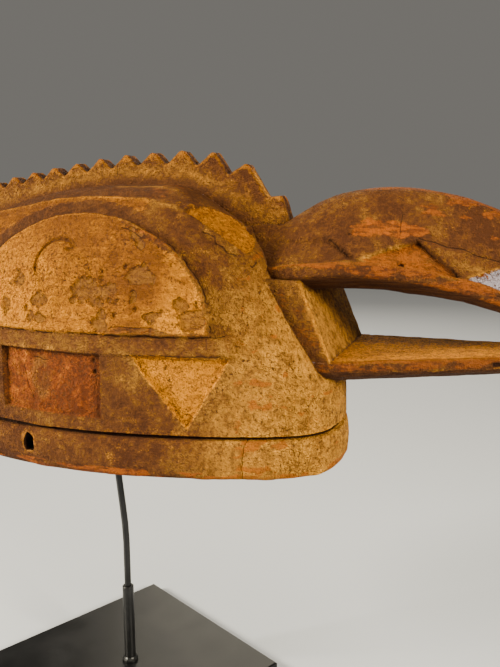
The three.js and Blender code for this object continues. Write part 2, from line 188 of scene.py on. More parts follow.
# Shallow tool cuts: a height that falls with the square of the distance to the nearest scattered point.
def toolCuts(points, size, seed, high, fall):
    return high - fall * scatteredCells(points, size, seed)[0] ** 2


# Outward normals of a grid of rings that run anticlockwise about the way from the first to the last.
def ringNormals(rings):
    along = np.gradient(rings, axis=0)
    around = np.roll(rings, -1, axis=1) - np.roll(rings, 1, axis=1)
    normals = np.cross(around, along)
    return normals / (np.linalg.norm(normals, axis=-1, keepdims=True) + 1e-9)


# A line of points walked at even steps. A weight below 1 gives a stretch fewer of them.
def evenSteps(u, v, steps, weight=1):
    walked = np.concatenate([[0], np.cumsum(np.hypot(np.diff(u), np.diff(v)) * weight)])
    even = np.linspace(0, walked[-1], steps)
    return np.interp(even, walked, u), np.interp(even, walked, v)


# The same for many sections at once: the corners of each are one column, and its steps become one row.
def evenSections(cornerU, cornerV, steps):
    return np.stack([evenSteps(u, v, steps) for u, v in zip(cornerU.T, cornerV.T)], 1)


# Marks that the paint reads, each with its usual value and its limits. The first five are distances in
# millimetres, above 0 inside a painted field, a flaked patch or a gap; gaps are painted dark, and in the
# rim's holes that dark is painted shade. seam is the signed distance to the nearest fine crack, and seamShare
# how much of it shows. tone runs from -1, darkest, to 1, palest, and on the disc and towards the chin it
# carries painted light. The others are shares of bare wood, of grime and painted shade, of pale worn paint
# and painted light, and of dark unpainted wood and painted shade.
gapRange, shareRange = (-far, -far, far), (0, 0, 1)
markRanges = {
    "ochre": gapRange, "red": gapRange, "pale": gapRange, "flake": gapRange, "crack": gapRange,
    "seam": (far, -far, far), "seamShare": shareRange, "tone": (0, -1, 1), "bare": shareRange,
    "soot": shareRange, "light": shareRange, "hollowSide": shareRange,
}


# A closed mesh over rings of points, each end closed by a fan, with a value of each mark at each point.
def skinObject(name, rings, marks):
    rows, columns = rings.shape[:2]
    ends = np.stack([rings[0].mean(0), rings[-1].mean(0)])
    points = placed(np.vstack([rings.reshape(-1, 3), ends]))
    index = np.arange(rows * columns).reshape(rows, columns)
    a, d = index[:-1], index[1:]
    b, c = np.roll(a, -1, 1), np.roll(d, -1, 1)
    quads = np.stack([a, b, c, d], -1).reshape(-1, 4)
    first = np.stack([np.full(columns, rows * columns), np.roll(index[0], -1), index[0]], -1)
    last = np.stack([np.full(columns, rows * columns + 1), index[-1], np.roll(index[-1], -1)], -1)
    mesh = bpy.data.meshes.new(name)
    mesh.from_pydata(points, [], quads.tolist() + first.tolist() + last.tolist())
    for markName, (usual, low, high) in markRanges.items():
        values = np.clip(np.broadcast_to(marks.get(markName, usual), (rows, columns)), low, high).reshape(-1)
        values = np.concatenate([values, values[:1], values[-1:]]).astype(np.float32)
        mesh.attributes.new(markName, "FLOAT", "POINT").data.foreach_set("value", values)
    made = bpy.data.objects.new(name, mesh)
    bpy.context.scene.collection.objects.link(made)
    return made


# The same after moving the points out along the normals by a height.
def raisedObject(name, rings, height, marks):
    return skinObject(name, rings + ringNormals(rings) * height[..., None], marks)


# The first solid joined to, or cut by, the second, which is then thrown away.
def combined(base, other, operation):
    modifier = base.modifiers.new(operation, "BOOLEAN")
    modifier.operation = operation
    modifier.object = other
    modifier.solver = "MANIFOLD"
    applyModifiers(base)
    bpy.data.objects.remove(other)
    return base


def applyModifiers(piece):
    graph = bpy.context.evaluated_depsgraph_get()
    mesh = bpy.data.meshes.new_from_object(piece.evaluated_get(graph))
    piece.modifiers.clear()
    piece.data = mesh


# The helmet: a dome over a long plan, drawn as rings from below the rim to the crown.
helmet = {
    "widestX": 24, "halfWidth": 109, "frontLength": 173, "narrowing": 0.46, "frontSkew": 0.2,
    "frontRound": 14, "backLength": 184, "crown": 171, "shoulder": 0.9, "roofFrom": 112, "frontDrop": 0.2,
    "napeDrop": 0.223, "sideWall": 16, "endWall": 24, "roofWall": 20, "columns": 1040,
    "rimRows": 40, "wallRows": 176, "roofRows": 84, "hollowColumns": 220, "hollowWallRows": 60,
    "hollowRoofRows": 26,
}


# Half the plan: a narrowing power curve with a blunt end forwards, a long ellipse backwards, evenly spaced.
# The other half mirrors it, and the chin is set a little askew.
def helmetPlan(columns):
    fore, aft = np.linspace(1, 0, 4001), np.linspace(0, 1, 4001)[1:]
    foreX = helmet["widestX"] + helmet["frontLength"] * fore
    foreY = helmet["halfWidth"] * (1 - helmet["narrowing"] * fore ** 1.7)
    foreY = foreY * np.sqrt(1 - fore ** helmet["frontRound"])
    aftX = helmet["widestX"] - helmet["backLength"] * aft
    aftY = helmet["halfWidth"] * np.sqrt(1 - aft ** 2.2)
    x, y = evenSteps(np.concatenate([foreX, aftX]), np.concatenate([foreY, aftY]), columns // 2 + 1)
    x, y = np.concatenate([x, x[-2:0:-1]]), np.concatenate([y, -y[-2:0:-1]])
    return x - helmet["frontSkew"] * y * forwardness(x) ** 2, y


def forwardness(x):
    return np.clip((x - helmet["widestX"]) / helmet["frontLength"], 0, 1)


# Height of the roof's middle line: level, then dropping towards the beak and towards the nape.
def crownHeight(x):
    aft = np.maximum(0, 15 - x) / 170
    return helmet["crown"] * (1 - helmet["frontDrop"] * ease(60, 150, x) - helmet["napeDrop"] * aft ** 1.44)


# The dome: each section is a squared ellipse, section^a + rise^b = 1, that leans back towards the front.
def domeRings(columns, wallRows, roofRows):
    x0, y0 = helmetPlan(columns)
    ahead = forwardness(x0)
    behind = np.clip((helmet["widestX"] - x0) / helmet["backLength"], 0, 1)
    widthPower = 3.7 + 1.3 * ahead ** 2 + 3 * behind ** 2
    heightPower = 3 + 3 * ahead ** 2
    wallRise = np.linspace(0.006, helmet["shoulder"], wallRows)[:, None] * np.ones_like(x0)
    roofEdge = (1 - helmet["shoulder"] ** heightPower) ** (1 / widthPower)
    roofSection = roofEdge * np.linspace(1, 0.02, roofRows)[1:, None]
    section = np.vstack([(1 - wallRise ** heightPower) ** (1 / widthPower), roofSection])
    rise = np.vstack([wallRise, (1 - roofSection ** widthPower) ** (1 / heightPower)])
    high = rise ** 4 / (rise ** 4 + 0.07)
    lean = 0.02 + 0.24 * ahead ** 1.5
    x = helmet["widestX"] + (x0 - helmet["widestX"]) * section * (1 - lean * high)
    y = y0 * section * (1 - 0.02 * high)
    return np.stack([x, y, crownHeight(x) * rise], -1)


# The rim in section, as distance out from the plan and height: flat underside, round lip and deep groove.
rimSection = [
    (-26, -31), (-5, -31), (-3, -31), (-1.2, -30.6), (0.4, -29.7), (1.4, -28.4), (2.0, -26.8), (2.5, -22),
    (2.5, -18), (2.2, -13), (1.6, -8), (1.1, -5.5), (0.4, -3.3), (-1.4, -2.1), (-2.6, -0.8), (-1.2, 0.1),
    (-0.1, 0.6),
]


def rimRings(columns):
    x0, y0 = helmetPlan(columns)
    out, level = np.array(rimSection, float).T
    weight = np.where(out[1:] < -4, 0.2, 1)  # the flat underside needs few rows
    out, level = evenSteps(out, level, helmet["rimRows"], weight)
    out, level = out[:, None], level[:, None]
    x = helmet["widestX"] + (x0 - helmet["widestX"]) * (1 + out / helmet["frontLength"])
    return np.stack([x, y0 * (1 + out / helmet["halfWidth"]), level + 0 * x0], -1)


# Sizes of the carving on each side: x and height in side view, or x and distance from the crest in plan.
# A fade is where something ends softly, from one x to another. A spot is x, height and its two half lengths.
disc = {
    "x": 26, "base": 70.5, "halfLength": 95.5, "rise": 82, "proud": 3.4, "bulge": 1.2,
    "brightSpot": (-35, 92, 85, 50), "wrinkleX": 22, "wrinkleZ": 99,
}
channel = {"x": 22, "halfLength": 103, "rise": 88.5, "depth": 2.6, "fade": (58, 102)}
eye = {
    "x": 13, "z": 114.5, "radius": 17, "height": 5.4, "groove": 2.0,
    "bumpX": -1, "bumpZ": 114, "bumpHeight": 1.3,
}
belt = {"bottom": 56, "top": 69.5, "front": 137, "proud": 1.5}
redPanel = {"back": -35.5, "front": 46.5, "bottom": 11, "top": 56, "depth": 3.0, "oliveSpot": (-3, 36, 8, 17)}
sideTriangle = {"corners": [(107, 6.7), (134, 54), (70, 56)], "depth": 2.7}
leaf = {
    "plan": [(92, 60), (100, 34), (112, 18), (125, 17), (132, 27), (136, 42), (135, 52), (124, 56)],
    "shallow": 0.6, "depth": 2.6, "rib": 1.3, "ribWidth": 6.5, "lowest": 121,
}
brow = {
    "middle": 22, "reach": 115, "ridgeY": 63, "nearCrest": 10, "depth": 3.0, "front": 77,
    "backFade": (-95, -78), "rib": 1.6, "ribY": 41, "ribWidth": 3.5, "ribFade": (20, 34), "ridge": 0.7,
    "ridgeFade": (84, 96), "duskDepth": 1.6,
}
duskPatch = [[(76, 26), (100, 28), (96, 50)], [(86, 7), (124, 7), (100, 28), (76, 26)]]

# Where the near disc's paint has flaked off, and small pits, as spots.
flakePatches = [
    (-19, 103.5, 5, 5.5), (1, 91.7, 7, 4.6), (-28.7, 84, 3, 4.5), (-1, 79, 7, 2.6), (36, 101, 9, 8.5),
    (51, 99, 11, 5.0), (43, 92.5, 4.5, 3.4), (75, 108, 9.5, 6), (71, 130.7, 3.2, 2.6), (69.6, 136, 4, 2.2),
    (104.8, 89.8, 4.4, 3.6), (109, 81.5, 7.2, 6.6), (85, 84.5, 6, 3.4),
]
smallPits = [
    (58, 83, 1.5, 2.0), (55, 85.5, 1.2, 1.5), (64, 115, 1.4, 1.8), (93, 116.5, 1.1, 2.0),
    (72.5, 88.6, 1.2, 2.4), (-10.8, 84.7, 1.4, 2.1), (47.6, 109, 1.2, 3.2), (21.5, 125, 2.0, 1.4),
    (41, 149, 1.6, 1.2), (42, 52, 1.8, 1.6), (42, 43, 1.8, 1.5),
]


def spotDistance(spots, x, z):
    return np.max([ellipseDistance(x, z, *spot) for spot in spots], axis=0)


# Distance inside the brow ridge: the ridge is a flattened oval round the crest, in plan.
def ridgeDistance(x, wide):
    share = np.clip(np.abs(x - brow["middle"]) / brow["reach"], 0, 1)
    return brow["ridgeY"] * np.sqrt(1 - share ** 4) - wide


# A field sunk to a floor: the height as it was outside the field, and the depth inside it.
def sunk(height, share, depth):
    return height * (1 - share) - depth * share


# All the carving and weathering of the helmet, with its painted light and shade, as a height above the smooth
# surface and a set of marks.
def helmetRelief(points, normals):
    x, y, z = np.moveaxis(points, -1, 0)
    wide, near = np.abs(y), y < 0
    flat = sideView(points)
    wobble, rough = softNoise(points, 14, 3), softNoise(flat, 5, 4)
    onRoof = inside(z - helmet["roofFrom"], 6)

    # The half disc stands proud, so its outline is tested where the raised surface lies.
    raisedX, raisedZ = x + normals[..., 0] * disc["proud"], z + normals[..., 2] * disc["proud"]
    discGap = ellipseDistance(raisedX, raisedZ, disc["x"], disc["base"], disc["halfLength"], disc["rise"])
    baseGap = raisedZ - disc["base"] + 0.4 * wobble + 0.3 * rough
    discGap = np.minimum(discGap + 0.4 * wobble + 0.25 * rough, baseGap)
    onDisc = inside(discGap, 2.2)
    height = onDisc * (disc["proud"] + disc["bulge"] * (1 - np.exp(-np.maximum(discGap, 0) / 20)))

    channelGap = ellipseDistance(x, z, channel["x"], disc["base"], channel["halfLength"], channel["rise"])
    channelGap = np.minimum(channelGap + 0.5 * wobble, z - disc["base"] - 3)
    channelFade = 1 - ease(*channel["fade"], x)
    height = height - channel["depth"] * inside(channelGap, 3.5) * (1 - onDisc) * channelFade

    # The hollow beside the crest, its low middle rib, the step at its front, and the ridge that bounds it.
    ridgeGap = ridgeDistance(x, wide) + 0.7 * wobble
    backFade = ease(*brow["backFade"], x)
    hollow = inside(ridgeGap, 2.2) * inside(wide - brow["nearCrest"], 4) * backFade * onRoof
    browEnd = inside(brow["front"] - x + rough, 1.6)
    height = height - brow["depth"] * hollow * browEnd
    middleRib = bell(wide - brow["ribY"], brow["ribWidth"]) * ease(*brow["ribFade"], x) * browEnd * onRoof
    height = height + brow["rib"] * middleRib
    duskGap = np.maximum(*[polygonDistance(outline, x, wide) for outline in duskPatch])
    onDusk = inside(duskGap, 1.6) * onRoof
    height = height - brow["duskDepth"] * onDusk
    ridgeCap = bell(ridgeGap + 1.2, 1.5) * backFade * (1 - ease(*brow["ridgeFade"], x)) * onRoof
    height = height + brow["ridge"] * ridgeCap

    # The ochre band lies between the channel and the ridge, and ends before the beak.
    bandGap = np.minimum(-ridgeGap, -channelGap - 0.5) + 6 * (onRoof - 1)
    bandGap = np.minimum(np.where(z > 100, bandGap, -far), (68 - x) * 0.25 + 1.5 * wobble)

    beltSides = np.minimum(z - belt["bottom"] + 0.5 * wobble, belt["top"] - z)
    beltGap = np.minimum(beltSides, belt["front"] - x + 2 * wobble)
    onBelt = inside(beltGap, 2.6) * inside(disc["base"] + 1 - z, 1)
    height = np.maximum(height, belt["proud"] * onBelt)

    panelEnds = np.minimum(x - redPanel["back"], redPanel["front"] - x + 0.6 * rough)
    panelSides = np.minimum(z - redPanel["bottom"] + (x - 5) * 0.02, redPanel["top"] - z)
    panelGap = np.minimum(panelEnds, panelSides) + 0.35 * wobble
    onPanel = inside(panelGap, 1.4)
    height = sunk(height, onPanel, redPanel["depth"])
    shadedWalls = np.maximum(inside(redPanel["back"] + 1.9 - x, 1), inside(z - redPanel["top"] + 1.5, 1))
    panelShade = onPanel * shadedWalls

    triangleGap = polygonDistance(sideTriangle["corners"], x, z) + 0.5 * wobble + 0.4 * rough
    onTriangle = inside(triangleGap, 1.8)
    height = sunk(height, onTriangle, sideTriangle["depth"])

    # The leaf is cut in shallow from the crest side and deepest along the rib at its lower edge.
    leafGap = np.minimum(polygonDistance(leaf["plan"], x, wide), z - leaf["lowest"]) + 0.4 * rough
    onLeaf = inside(leafGap, 1.8) * onRoof
    height = sunk(height, onLeaf, leaf["shallow"] + leaf["depth"] * ease(20, 56, wide))
    ribCap = np.exp(-((leafGap + leaf["ribWidth"] / 2) / 3) ** 4)
    ribCap = ribCap * inside(wide - 48, 8) * inside(x - 90, 6) * onRoof * (1 - onLeaf)
    height = height + leaf["rib"] * ribCap

    # The eye: a low mound with a cut round its back and top, fading out forwards and down, and a small bump.
    eyeX, eyeZ = x - eye["x"], z - eye["z"]
    eyeRadius = np.hypot(eyeX, eyeZ) / (eye["radius"] + 0.35 * np.maximum(0, eyeX - eyeZ))
    mound = np.clip(1 - eyeRadius ** 2, 0, 1)
    height = height + eye["height"] * mound ** 0.9 * onDisc
    eyeSide = ease(6, -8, eyeX * 0.8 - eyeZ * 0.6)
    eyeCut = bell(eyeRadius - 1.04, 0.075) * eyeSide * inside(eyeZ + 6, 6) * onDisc
    height = height - eye["groove"] * eyeCut
    fromBump = np.hypot(x - eye["bumpX"], z - eye["bumpZ"])
    height = height + eye["bumpHeight"] * bell(fromBump, 5) * onDisc

    # Tool marks, crust and broad unevenness.
    plain = (1 - onDisc) * (1 - onPanel) * (1 - onTriangle) * (1 - onLeaf)
    height = height + plain * toolCuts(flat * (1, 0.75, 1), 17, 11, 0.28, 0.0028)
    wrinkles = softNoise(flat * (1.3, 0.6, 1), 4, 25) * near * onDisc
    wrinkles = wrinkles * np.exp(-np.hypot(x - disc["wrinkleX"], z - disc["wrinkleZ"]) / 16)
    height = height + (0.16 + 0.2 * onDisc) * layeredNoise(flat, 8, 2, 21) + 0.9 * wrinkles
    height = height + 0.45 * layeredNoise(points, 38, 2, 31)

    # Flaked paint, as shallow patches with crisp, ragged edges.
    edgeNoise = layeredNoise(flat, 10, 3, 41)
    notch = 2.6 * np.abs(softNoise(flat, 7, 44)) + 1.6 * np.abs(softNoise(flat, 3.6, 45)) - 1.4
    ragged = 2.0 * edgeNoise + 1.6 * notch
    patchGap = np.where(near, spotDistance(flakePatches, x, z), -far) + ragged
    scatter = layeredNoise(flat, 24, 3, 51) * 9 - np.where(near, 10.2, 7.4) + ragged
    flakeGap = np.where(discGap > 1, np.maximum(patchGap, scatter), -far)
    flakeGap = np.maximum(flakeGap, np.where(onTriangle > 0.5, scatter, -far))
    height = height - 0.8 * inside(flakeGap, 0.9)

    # The red panel's crust is split into plates.
    plateGap, plateNumber = scatteredCells(flat * (1, 1.2, 1) + 1.2 * edgeNoise[..., None], 8.5, 61)[1:]
    plateZone = inside(softNoise(flat, 20, 71) + 0.15, 0.6) * inside(plateGap - 0.6, 1.2)
    height = height + onPanel * (0.6 * plateNumber * plateZone + 0.5 * layeredNoise(flat, 7, 2, 72))

    # Fine cracks: the disc's front edge, inside its upper edge and its back edge, the belt's two edges, one
    # down the rim, one under the leaf's rib, and two across the red panel.
    gapNoise = 6 * softNoise(points, 8, 81)
    finer = 0.7 * softNoise(flat, 3, 89)
    onNear = np.where(near, far, -far)
    seam, seamShare = nearestLine(
        (discGap + 0.9 + finer, x - 88, z - disc["base"] - 2, gapNoise + 1.5),
        (discGap - 5.2 + finer, x - 54, 84 - x, gapNoise + 1),
        (discGap + 1.2 + finer, -14 - x, gapNoise - 1),
        (z - belt["top"] - 0.2 + rough, belt["front"] - 6 - x, gapNoise - 0.5),
        (z - belt["bottom"] - 0.4 + finer, x - 62, belt["front"] - 8 - x, gapNoise + 3),
        (x - 146 - 1.2 * softNoise(points, 7, 84) - 0.08 * z + finer, -z - 1, onNear),
        (leafGap + leaf["ribWidth"] + 1.6 * rough, wide - 48, x - 92, z - 112, gapNoise + 1),
        (x + 19 - (46 - z) * 0.33 + 1.5 * wobble + finer, z - 18, 47 - z, gapNoise + 1.5, onNear),
        (z - 50.5 + 2.2 * softNoise(flat, 5, 90), x + 9, 4 - x, onNear),
    )
    pits = inside(np.where(near, spotDistance(smallPits, x, z), -far) + 1.2 * softNoise(flat, 2.5, 87), 1)
    grooveGap = 0.8 - np.abs(z + 0.7)
    height = height - crackDepth(seam, seamShare) - 1.2 * inside(grooveGap + 0.4, 0.7) - 0.9 * pits

    # The rim's lower edge is chewed and splintered.
    onEdge = inside(-z - 24, 6)
    splinter = layeredNoise(points * (0.22, 0.22, 1), 3.2, 2, 91)
    height = height + onEdge * (0.7 * splinter - 0.5 + 0.9 * softNoise(points, 30, 92))

    # Ochre: the disc without the strip of bare wood in its upper front border, the triangle and the leaf.
    bareStrip = 5.4 * ease(50, 60, x) * (1 - ease(84, 94, x)) + 2.6 * ease(84, 94, x)
    chipped = 1.6 * np.abs(softNoise(flat, 5, 95)) * ease(95, 115, x)
    paintGap = np.maximum(discGap - bareStrip, triangleGap + 1.2 - chipped)
    paintGap = np.maximum(paintGap, leafGap + far * (onRoof - 1))
    paintGap = np.maximum(paintGap, bandGap * 0.8 - 0.6)

    # Bare wood: the strip, chips on the chin, the hollow's reddish front and the splintered rim.
    stripWood = onDisc * inside(bareStrip - discGap, 1) * inside(bareStrip - 1, 1)
    chip = inside(layeredNoise(flat * (0.7, 1.3, 1), 7, 2, 93) - 0.55, 0.08) * ease(120, 150, x) * plain
    reddish = inside(hollow - 0.5, 0.5) * ease(56, 64, x) * browEnd
    rimWear = onEdge * inside(splinter + 0.1, 0.5) * (0.35 + 0.65 * ease(150, 60, np.abs(x - 40)))

    # Grime and painted shade: painted shade in the channel, the hollow, on the red panel's walls and in the
    # eye's cut; the dusky patch and the pits are darkened too.
    soot = 0.9 * inside(channelGap, 3) * (1 - onDisc) * channelFade
    soot = soot + 0.9 * hollow * browEnd * (1 - middleRib) * (1 - 0.7 * reddish)
    soot = soot + 0.8 * onDusk + 0.9 * panelShade + eyeCut + 0.85 * pits

    # Paler paint: painted highlights on the ridge's cap, the eye's bump and the triangle's lower left edge,
    # and painted light on the disc's back; the chin is paler, partly as painted light; paler too are the
    # middle rib, a line inside the disc's edge short of its front, the triangle, the leaf and the red panel's
    # olive spot.
    nearTriangle = inside(triangleGap + 1, 1)
    brightX, brightZ, brightLength, brightHeight = disc["brightSpot"]
    fromBright = np.hypot((x - brightX) / brightLength, (z - brightZ) / brightHeight)
    light = 0.5 * ridgeCap + 0.4 * middleRib + 0.8 * ease(112, 168, x + (60 - z) * 0.2) * plain
    light = light + (np.clip(1.15 - fromBright, 0, 1) + 1.4 * bell(fromBump, 6)) * onDisc
    light = light + 0.5 * bell(discGap - 0.8, 0.9) * ease(84, 60, x) + 0.5 * nearTriangle + 0.3 * onLeaf
    light = light + 0.5 * bell(triangleGap - 0.8, 1.6) * inside(100 - x, 8)
    light = light + 0.6 * inside(ellipseDistance(x, z, *redPanel["oliveSpot"]), 6) * onPanel

    # Tone within each colour. On the disc it is painted light: paler towards its front, its back and its
    # bottom. The field is paler towards the chin, partly as painted light, and darker towards the back and
    # high up where the beak starts; the belt is paler, most towards the back; the red panel is paler at its
    # back and darker towards its lower front.
    discTone = 1.5 * ease(72, 100, x) + 0.8 * ease(105, 80, z) + 0.7 * ease(10, -40, x) - 0.8
    fieldTone = 1.05 * ease(84, 132, x + (60 - z) * 0.05) - 0.6 - 0.8 * ease(20, -60, x)
    fieldTone = fieldTone + onBelt * (0.9 * ease(40, -20, x) + 0.6)
    fieldTone = fieldTone - 0.9 * ease(128, 140, x) * ease(95, 115, z)
    panelTone = 0.6 * ease(0, -25, x) - 0.15 - 0.9 * ease(5, 40, x + (34 - z) * 0.4)
    openTone = between(fieldTone, discTone, onDisc) * (1 - nearTriangle) * (1 - onPanel) * (1 - onLeaf)
    marks = {
        "ochre": paintGap,
        "red": panelGap,
        "flake": flakeGap,
        "crack": grooveGap,
        "seam": seam,
        "seamShare": seamShare,
        "bare": rimWear + 0.42 * stripWood + 0.8 * chip + 0.4 * reddish,
        "soot": soot,
        "light": light,
        "tone": openTone + 0.9 * nearTriangle + onPanel * panelTone,
    }
    return height, marks


def helmetBlock():
    dome = domeRings(helmet["columns"], helmet["wallRows"], helmet["roofRows"])
    rings = np.concatenate([rimRings(helmet["columns"]), dome])
    normals = ringNormals(rings)
    height, marks = helmetRelief(rings, normals)
    # The underside stays flat, and the nape is drawn in a little.
    height = np.where(rings[..., 2] < -rim["height"] + 0.2, 0, height) - 0.6 * ease(-140, -158, rings[..., 0])
    return skinObject("carvedMask", rings + normals * height[..., None], marks)


# The hollow: the dome shrunk by the walls, with shallow gouge marks that only cut outwards.
def hollowBody():
    rings = domeRings(helmet["hollowColumns"], helmet["hollowWallRows"], helmet["hollowRoofRows"])
    shrink = [1 - helmet["endWall"] / helmet["frontLength"], 1 - helmet["sideWall"] / helmet["halfWidth"],
              1 - helmet["roofWall"] / helmet["crown"]]
    rings = (rings - (helmet["widestX"], 0, 0)) * shrink + (helmet["widestX"], 0, 0)
    mouthLevels = (-rim["height"] - 8, -rim["height"], -16)
    mouth = np.stack([rings[0] * (1, 1, 0) + (0, 0, level) for level in mouthLevels])
    rings = np.concatenate([mouth, rings])
    gouges = np.maximum(0, toolCuts(rings * (1, 1, 0.55), 20, 101, 0.9, 0.006))
    return raisedObject("hollow", rings, gouges, {"hollowSide": 1, "soot": 0.3})


# The crest: a thick blade with rounded saw teeth whose pitch and height grow towards the front.
crest = {
    "thickness": 15, "roundness": 1.8, "flare": 5.5, "foot": 100, "backFoot": (-146, 96),
    "frontValley": (152, 144), "frontX": 156, "frontToothX": 146, "highest": 196.5, "highestX": 62,
    "teeth": 12, "widestPitch": 27.6, "pitchLoss": 0.9, "tallTooth": 12.3, "lowTooth": 6.5,
    "valleyShare": 0.44, "crackX": 10,
}


# The line along the tooth tips: falling as a power of the way forward, and another of the way back.
def crestLine(x):
    fore = np.maximum(x - crest["highestX"], 0)
    aft = np.maximum(crest["highestX"] - x, 0)
    return crest["highest"] - 0.000211 * fore ** 2.7 - 0.0109 * aft ** 1.5


# The saw-tooth profile as corners from front to back, then as a height for each x, rounded at the tips.
def crestProfile(x):
    tip = crest["frontToothX"]
    corners = [crest["frontValley"], (tip, crestLine(tip) - 0.5), (tip - 12, crestLine(tip) - 2.2)]
    for tooth in range(1, crest["teeth"]):
        pitch = crest["widestPitch"] - crest["pitchLoss"] * (tooth - 1)
        depth = between(crest["tallTooth"], crest["lowTooth"], (tooth - 1) / (crest["teeth"] - 2))
        tip -= pitch
        if tooth > 1:
            middle = (crestLine(tip) + crestLine(tip + pitch)) / 2
            corners.append((tip + pitch * crest["valleyShare"], middle - depth))
        corners.append((tip, crestLine(tip) + 1.4))
    corners.append(crest["backFoot"])
    cornerX, cornerZ = np.array(corners[::-1], float).T
    reach = 1.7 + 1.5 * bell(x - 54, 20)  # the two highest teeth are the most rounded
    shifts = [x + reach * share for share in np.linspace(-1, 1, 7)]
    return np.mean([np.interp(shifted, cornerX, cornerZ) for shifted in shifts], axis=0)


def crestBody():
    valleyX, valleyZ = crest["frontValley"]
    x = np.concatenate([np.linspace(crest["backFoot"][0], 150, 330), np.linspace(150.8, crest["frontX"], 6)])
    top = np.where(x > valleyX, valleyZ - (x - valleyX) * 1.5, crestProfile(x))
    foot = np.minimum(crest["foot"], top - 8)
    # Each section runs up one side, over the rounded top and down the other.
    climb = np.concatenate([np.linspace(0, 1, 40), np.ones(9), np.linspace(1, 0, 40)])
    across = np.concatenate([np.full(40, 1.0), np.linspace(0.82, -0.82, 9), np.full(40, -1.0)])
    z = foot[:, None] + (top - foot)[:, None] * climb ** 0.7
    soft = np.clip((top[:, None] - z) / crest["roundness"], 0, 1)
    above = z - crownHeight(x)[:, None]
    flare = crest["flare"] * np.exp(-np.maximum(above, 0) / 4) * (above > -30)
    half = crest["thickness"] / 2 * (0.8 + 0.2 * np.sqrt(1 - (1 - soft) ** 2)) + flare
    rings = np.stack(np.broadcast_arrays(x[:, None], across * half, z), -1)
    px, side = rings[..., 0], sideView(rings)

    height = toolCuts(side * (1.6, 0.5, 1), 10, 201, 0.2, 0.004) + 0.25 * layeredNoise(side, 12, 2, 202)
    crackGap = px - crest["crackX"] + 0.8 * softNoise(side, 5, 203)
    seam, seamShare = nearestLine((crackGap, above - 6, 16 - above, np.where(rings[..., 1] < 0, far, -far)))
    height = (height - crackDepth(seam, seamShare)) * (climb > 0.05)
    onTop = inside(0.9 - np.abs(across), 0.1) * (climb > 0.98) + 0 * px
    frontSlope = onTop * ease(120, 122, px) * (1 - ease(135, 137, px))
    darkSlope = onTop * inside(-np.gradient(top, x)[:, None] - 0.15, 0.4) * (1 - frontSlope)
    nearTip = np.exp((z - top[:, None]) / 2.2) * inside(z - crestLine(px) + 5, 4)
    # The first tooth's front slope is ochre, made paler as painted light; the crest's foot is darkened as
    # painted shade.
    marks = {
        "ochre": np.where(frontSlope > 0.3, 3.0, -far),
        "bare": 0.6 * nearTip * inside(softNoise(side, 7, 207) + 0.2, 0.8) * (1 - darkSlope),
        "soot": 0.95 * darkSlope + 0.9 * bell(above - 1, 2.4),
        "light": 0.3 * bell(above - 10, 6) * (1 - onTop) + 0.9 * frontSlope,
        "tone": 1.5 * frontSlope - 0.9,
        "seam": seam,
        "seamShare": seamShare,
        "hollowSide": 0.8 * darkSlope,
    }
    return raisedObject("crest", rings, height, marks)


# Both jaws taper from the helmet to their tips. The upper one has a round back and, on each side, three cut
# faces under it, an upright band and a keel.
beak = {
    "rootX": 112, "rootTo": 175, "halfWidth": 54.4, "taperFrom": 197, "taper": 0.245, "ridgePeakX": 228,
    "ridgePeak": 169, "rootRidge": 142, "ridgeHalf": 7, "rootRidgeHalf": 20, "edgePeakX": 207,
    "edgePeak": 110, "edgeFloor": 62, "band": 10, "keel": 13, "wornSpot": (231, 139.5, 25, 6.5),
}
# Each cut face in side view: its depth at its left or upper side and at its right side, whether its left side
# is lighter, as worn paint and painted highlight, and its corners. Pits are spots, as on the disc.
jawFaces = [
    {"left": 0.5, "right": 3.4, "worn": 0, "corners": [(147, 113.5), (210, 122.5), (192, 134.5), (134, 130)]},
    {"left": 0.8, "right": 4.2, "worn": 1, "corners": [(213, 121), (280, 110), (250, 134)]},
    {"left": 1.0, "right": 3.0, "worn": 1, "corners": [(282, 109), (344, 91), (316, 120)]},
]
roughFace = [(256, 133), (280, 111), (310, 119)]
jawPits = [(241, 119, 2.4, 1.0), (205, 138, 2.2, 0.8)]
lowerJaw = {"rootX": 140, "top": 51, "climb": 0.056, "strip": 7, "keel": 13, "tipX": 368}
throat = {"backX": 120, "topX": 173.5, "topZ": 106, "footX": 197, "footZ": 51, "halfWidth": 54, "corner": 1.1}


def jawHalfWidth(x):
    root = 1 - 0.173 * (np.clip(beak["rootTo"] - x, 0, 47) / 30) ** 1.3
    return beak["halfWidth"] * root - beak["taper"] * np.maximum(0, x - beak["taperFrom"])


# The top line: a round arch whose root is kept up to meet the crest.
def ridgeHeight(x):
    behind = np.maximum(beak["ridgePeakX"] - x, 0)
    ahead = np.maximum(x - beak["ridgePeakX"], 0)
    arch = beak["ridgePeak"] - 0.000757 * behind ** 2.4 - 0.003 * ahead ** 2
    return np.where(x < 200, 1.5 * np.logaddexp(arch / 1.5, beak["rootRidge"] / 1.5), arch)


# The upper jaw's lower edge: an arch that flattens softly above the lower jaw's tip.
def edgeHeight(x):
    arch = beak["edgePeak"] - 0.0019 * (x - beak["edgePeakX"]) ** 2
    return beak["edgeFloor"] + 8 * np.logaddexp(0, (arch - beak["edgeFloor"]) / 8)


# Rings along a jaw: each section is given by the corners of one side and mirrored to the other.
def jawRings(x, cornerY, cornerZ, steps):
    y, z = evenSections(cornerY, cornerZ, steps)
    y, z = np.concatenate([y, -y[:, ::-1]], 1), np.concatenate([z, z[:, ::-1]], 1)
    return np.stack([x[:, None] + 0 * y, y, z], -1)[:, ::-1]


